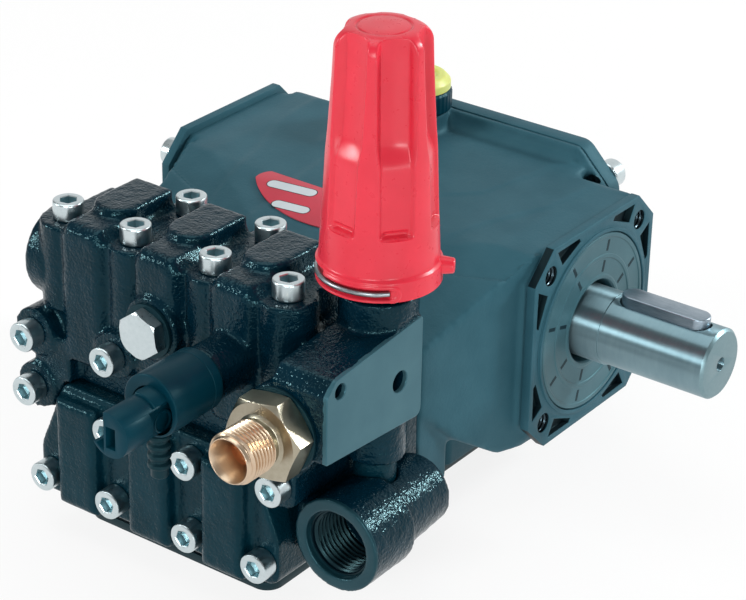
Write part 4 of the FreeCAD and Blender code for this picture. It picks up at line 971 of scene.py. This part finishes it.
rings += [[spot("z", VALVE, knob_skin(z, a), a, z) for a in angles] for z in heights]
rings += [[spot("z", VALVE, knob_skin(KNOB_TOP, a) * share, a, KNOB_TOP) for a in angles] for share in (0.97, 0.93)]
rings += turned("z", VALVE, disc, KNOB_POINTS)
solid = Solid()
solid.rings(rings)

NUB_TURN, NUB_Z, NUB_POINTS = math.radians(30.0), 59.0, 32
rings = []
for radius, along in softened([(2.4, 15.0), (2.4, 22.4, 0.9), (0.01, 22.5)], 0.5, 4):
    ring = []
    for j in range(NUB_POINTS):
        a = TAU * j / NUB_POINTS
        flare = radius + 0.9 * smoothstep(20.2, 18.4, along) if along < 20.2 else radius
        side, up = flare * math.cos(a), flare * math.sin(a)
        ring.append((VALVE[0] + along * math.cos(NUB_TURN) - side * math.sin(NUB_TURN),
                     VALVE[1] + along * math.sin(NUB_TURN) + side * math.cos(NUB_TURN), NUB_Z + up))
    rings.append(ring)
solid.rings(rings)
piece(solid, "unloader_knob_detail", (red,), ("unloader_knob",), 60.0, "adjusting_knob")

WIRE_R, CLIP_R, CLIP_Z, CLIP_STEPS = 0.9, 18.3, 57.0, 48
solid = Solid()
rings = []
for i in range(CLIP_STEPS + 1):
    turn = math.radians(190.0 + 126.0 * i / CLIP_STEPS)
    dip = -0.5 * smoothstep(0.85, 1.0, i / CLIP_STEPS)
    ring = []
    for j in range(16):
        a = TAU * j / 16
        r = CLIP_R + dip + WIRE_R * math.cos(a)
        ring.append((VALVE[0] + r * math.cos(turn), VALVE[1] + r * math.sin(turn), CLIP_Z + WIRE_R * math.sin(a)))
    rings.append(ring)
solid.rings(rings)
piece(solid, "knob_clip_detail", (wire_steel,), ("knob_clip",), 60.0, "adjusting_knob")


# ---------------------------------------------------------------- rating plate
# The plate's two blank windows: centre, half length and half height
PILLS = [((-94.0, -41.6), 9.7, 2.4), ((-87.0, -51.3), 7.3, 2.3)]
PILL_TURN = 6.5
PILL_RIM = 0.3
bevelled("rating_plate", "rating_plate_detail", 0.12, label_red)


def slope_z(y):
    """The height of the plate's face, which slopes down to the front."""
    return 36.5 - 5.5 * (-36.0 - y) / 42.0 + 0.4


def pill(solid, centre, half_length, half_height, lift, mark):
    """A thin field with round ends that lies a little askew on the plate."""
    ring = []
    for side in (1, -1):
        for k in range(11):
            angle = side * math.pi / 2 - math.pi * k / 10
            ring.append((side * (half_length - half_height) + half_height * math.cos(angle),
                         half_height * math.sin(angle)))
    c, s = math.cos(math.radians(PILL_TURN)), math.sin(math.radians(PILL_TURN))
    ring = [(centre[0] + u * c - v * s, centre[1] + u * s + v * c) for u, v in ring]
    solid.rings([[(x, y, slope_z(y) + level) for x, y in ring] for level in (-0.05, lift)], True, True, True, mark)


solid = Solid()
for centre, half_length, half_height in PILLS:
    pill(solid, centre, half_length, half_height, 0.02, 0)
    pill(solid, centre, half_length - PILL_RIM, half_height - PILL_RIM, 0.035, 1)
piece(solid, "rating_plate_fields", (mark_dark, label_pale))


# --------------------------------------------------------------- stage and light
def larger(tree, *values):
    """The largest of some values from 0 to 1."""
    result = values[0]
    for value in values[1:]:
        node = tree.nodes.new("ShaderNodeMath")
        node.operation = "MAXIMUM"
        tree.links.new(result, node.inputs[0])
        tree.links.new(value, node.inputs[1])
        result = node.outputs[0]
    return result


# The paper looks white to the camera, in mirrors and through glass, and keeps the object's shadow
PAPER_GLOW = 0.85
white_floor, tree, shader = new_material("floor_white")
shader.inputs["Base Color"].default_value = (0.95, 0.92, 0.91, 1.0)
shader.inputs["Roughness"].default_value = 0.9
shader.inputs["Specular IOR Level"].default_value = 0.1
path = tree.nodes.new("ShaderNodeLightPath").outputs
seen = larger(tree, path["Is Camera Ray"], path["Is Glossy Ray"], path["Is Transmission Ray"])
glow = tree.nodes.new("ShaderNodeEmission")
blend = tree.nodes.new("ShaderNodeMixShader")
tree.links.new(scaled(tree, seen, 0.0, PAPER_GLOW), blend.inputs["Fac"])
tree.links.new(shader.outputs["BSDF"], blend.inputs[1])
tree.links.new(glow.outputs["Emission"], blend.inputs[2])
tree.links.new(blend.outputs["Shader"], tree.nodes["Material Output"].inputs["Surface"])

# A floor that curves up into a backdrop, in metres
SWEEP_Y, SWEEP_R, SWEEP_TOP, STAGE_SIZE, SWEEP_STEPS = 1.2, 1.0, 2.6, 5.0, 16
level = (FLOOR_Z - 0.02) * MM
profile = [(-STAGE_SIZE, level)]
for i in range(SWEEP_STEPS + 1):
    angle = 0.5 * math.pi * i / SWEEP_STEPS
    profile.append((SWEEP_Y + SWEEP_R * math.sin(angle), level + SWEEP_R * (1.0 - math.cos(angle))))
profile.append((SWEEP_Y + SWEEP_R, SWEEP_TOP))
verts = [(side * STAGE_SIZE, y, z) for y, z in profile for side in (-1, 1)]
faces = [(2 * i, 2 * i + 1, 2 * i + 3, 2 * i + 2) for i in range(len(profile) - 1)]
floor_mesh = bpy.data.meshes.new("floor")
floor_mesh.from_pydata(verts, [], faces)
shade(floor_mesh, 60.0)
floor_mesh.materials.append(white_floor)
floor = link(bpy.data.objects.new("floor", floor_mesh))

world = bpy.data.worlds.new("studio")
bpy.context.scene.world = world
world.use_nodes = True
background = world.node_tree.nodes["Background"]
background.inputs["Color"].default_value = (1.0, 1.0, 1.0, 1.0)
background.inputs["Strength"].default_value = 0.3

LAMP_COLOUR = (0.93, 0.99, 1.0)


def lamp(name, place, target, size, power):
    """A rectangular lamp, in metres and watts."""
    data = bpy.data.lights.new(name, "AREA")
    data.shape = "RECTANGLE"
    data.size, data.size_y = size
    data.energy = power
    data.color = LAMP_COLOUR
    obj = link(bpy.data.objects.new(name, data))
    obj.location = place
    obj.rotation_euler = (Vector(target) - Vector(place)).to_track_quat("-Z", "Y").to_euler()


lamp("front", (0.46, -1.30, 0.46), (-0.02, -0.05, 0.02), (0.42, 0.34), 7.0)
lamp("left", (-1.05, -0.95, 0.46), (-0.08, -0.08, 0.02), (0.26, 0.26), 7.0)
lamp("right", (1.20, -0.85, 0.14), (-0.02, -0.08, 0.02), (0.26, 0.26), 4.5)
lamp("back_right", (0.85, 1.05, 0.75), (-0.04, -0.05, 0.02), (0.26, 0.26), 17.0)
lamp("overhead", (-0.30, -0.05, 1.2), (-0.08, -0.05, 0.0), (1.0, 1.0), 6.2)


# ---------------------------------------------------------------------- camera
# Fitted to the photograph: its size and focal length in pixels, its middle, and the camera's axes
PHOTO_WIDTH, PHOTO_HEIGHT, FOCAL = 746.0, 600.0, 2533.184
PHOTO_MIDDLE = (355.326, 288.493)
RIGHT = Vector((0.79964653, 0.60029170, 0.01467281))
UP = Vector((-0.28320825, 0.35548852, 0.89074183))
BACK = Vector((0.52948892, -0.71643407, 0.45427272))
camera_data = bpy.data.cameras.new("photo_camera")
camera = link(bpy.data.objects.new("photo_camera", camera_data))
camera_data.sensor_width = 36.0
camera_data.lens = FOCAL / PHOTO_WIDTH * 36.0
camera_data.shift_x = (0.5 * PHOTO_WIDTH - PHOTO_MIDDLE[0]) / PHOTO_WIDTH
camera_data.shift_y = (PHOTO_MIDDLE[1] - 0.5 * PHOTO_HEIGHT) / PHOTO_WIDTH
camera_data.clip_start, camera_data.clip_end = 0.05, 20.0
rotation = Matrix((RIGHT, UP, BACK)).transposed().to_4x4()
camera.matrix_world = Matrix.Translation(Vector((0.37955295, -0.64591863, 0.39037677))) @ rotation
bpy.context.scene.camera = camera
bpy.context.scene.view_settings.view_transform = "Standard"
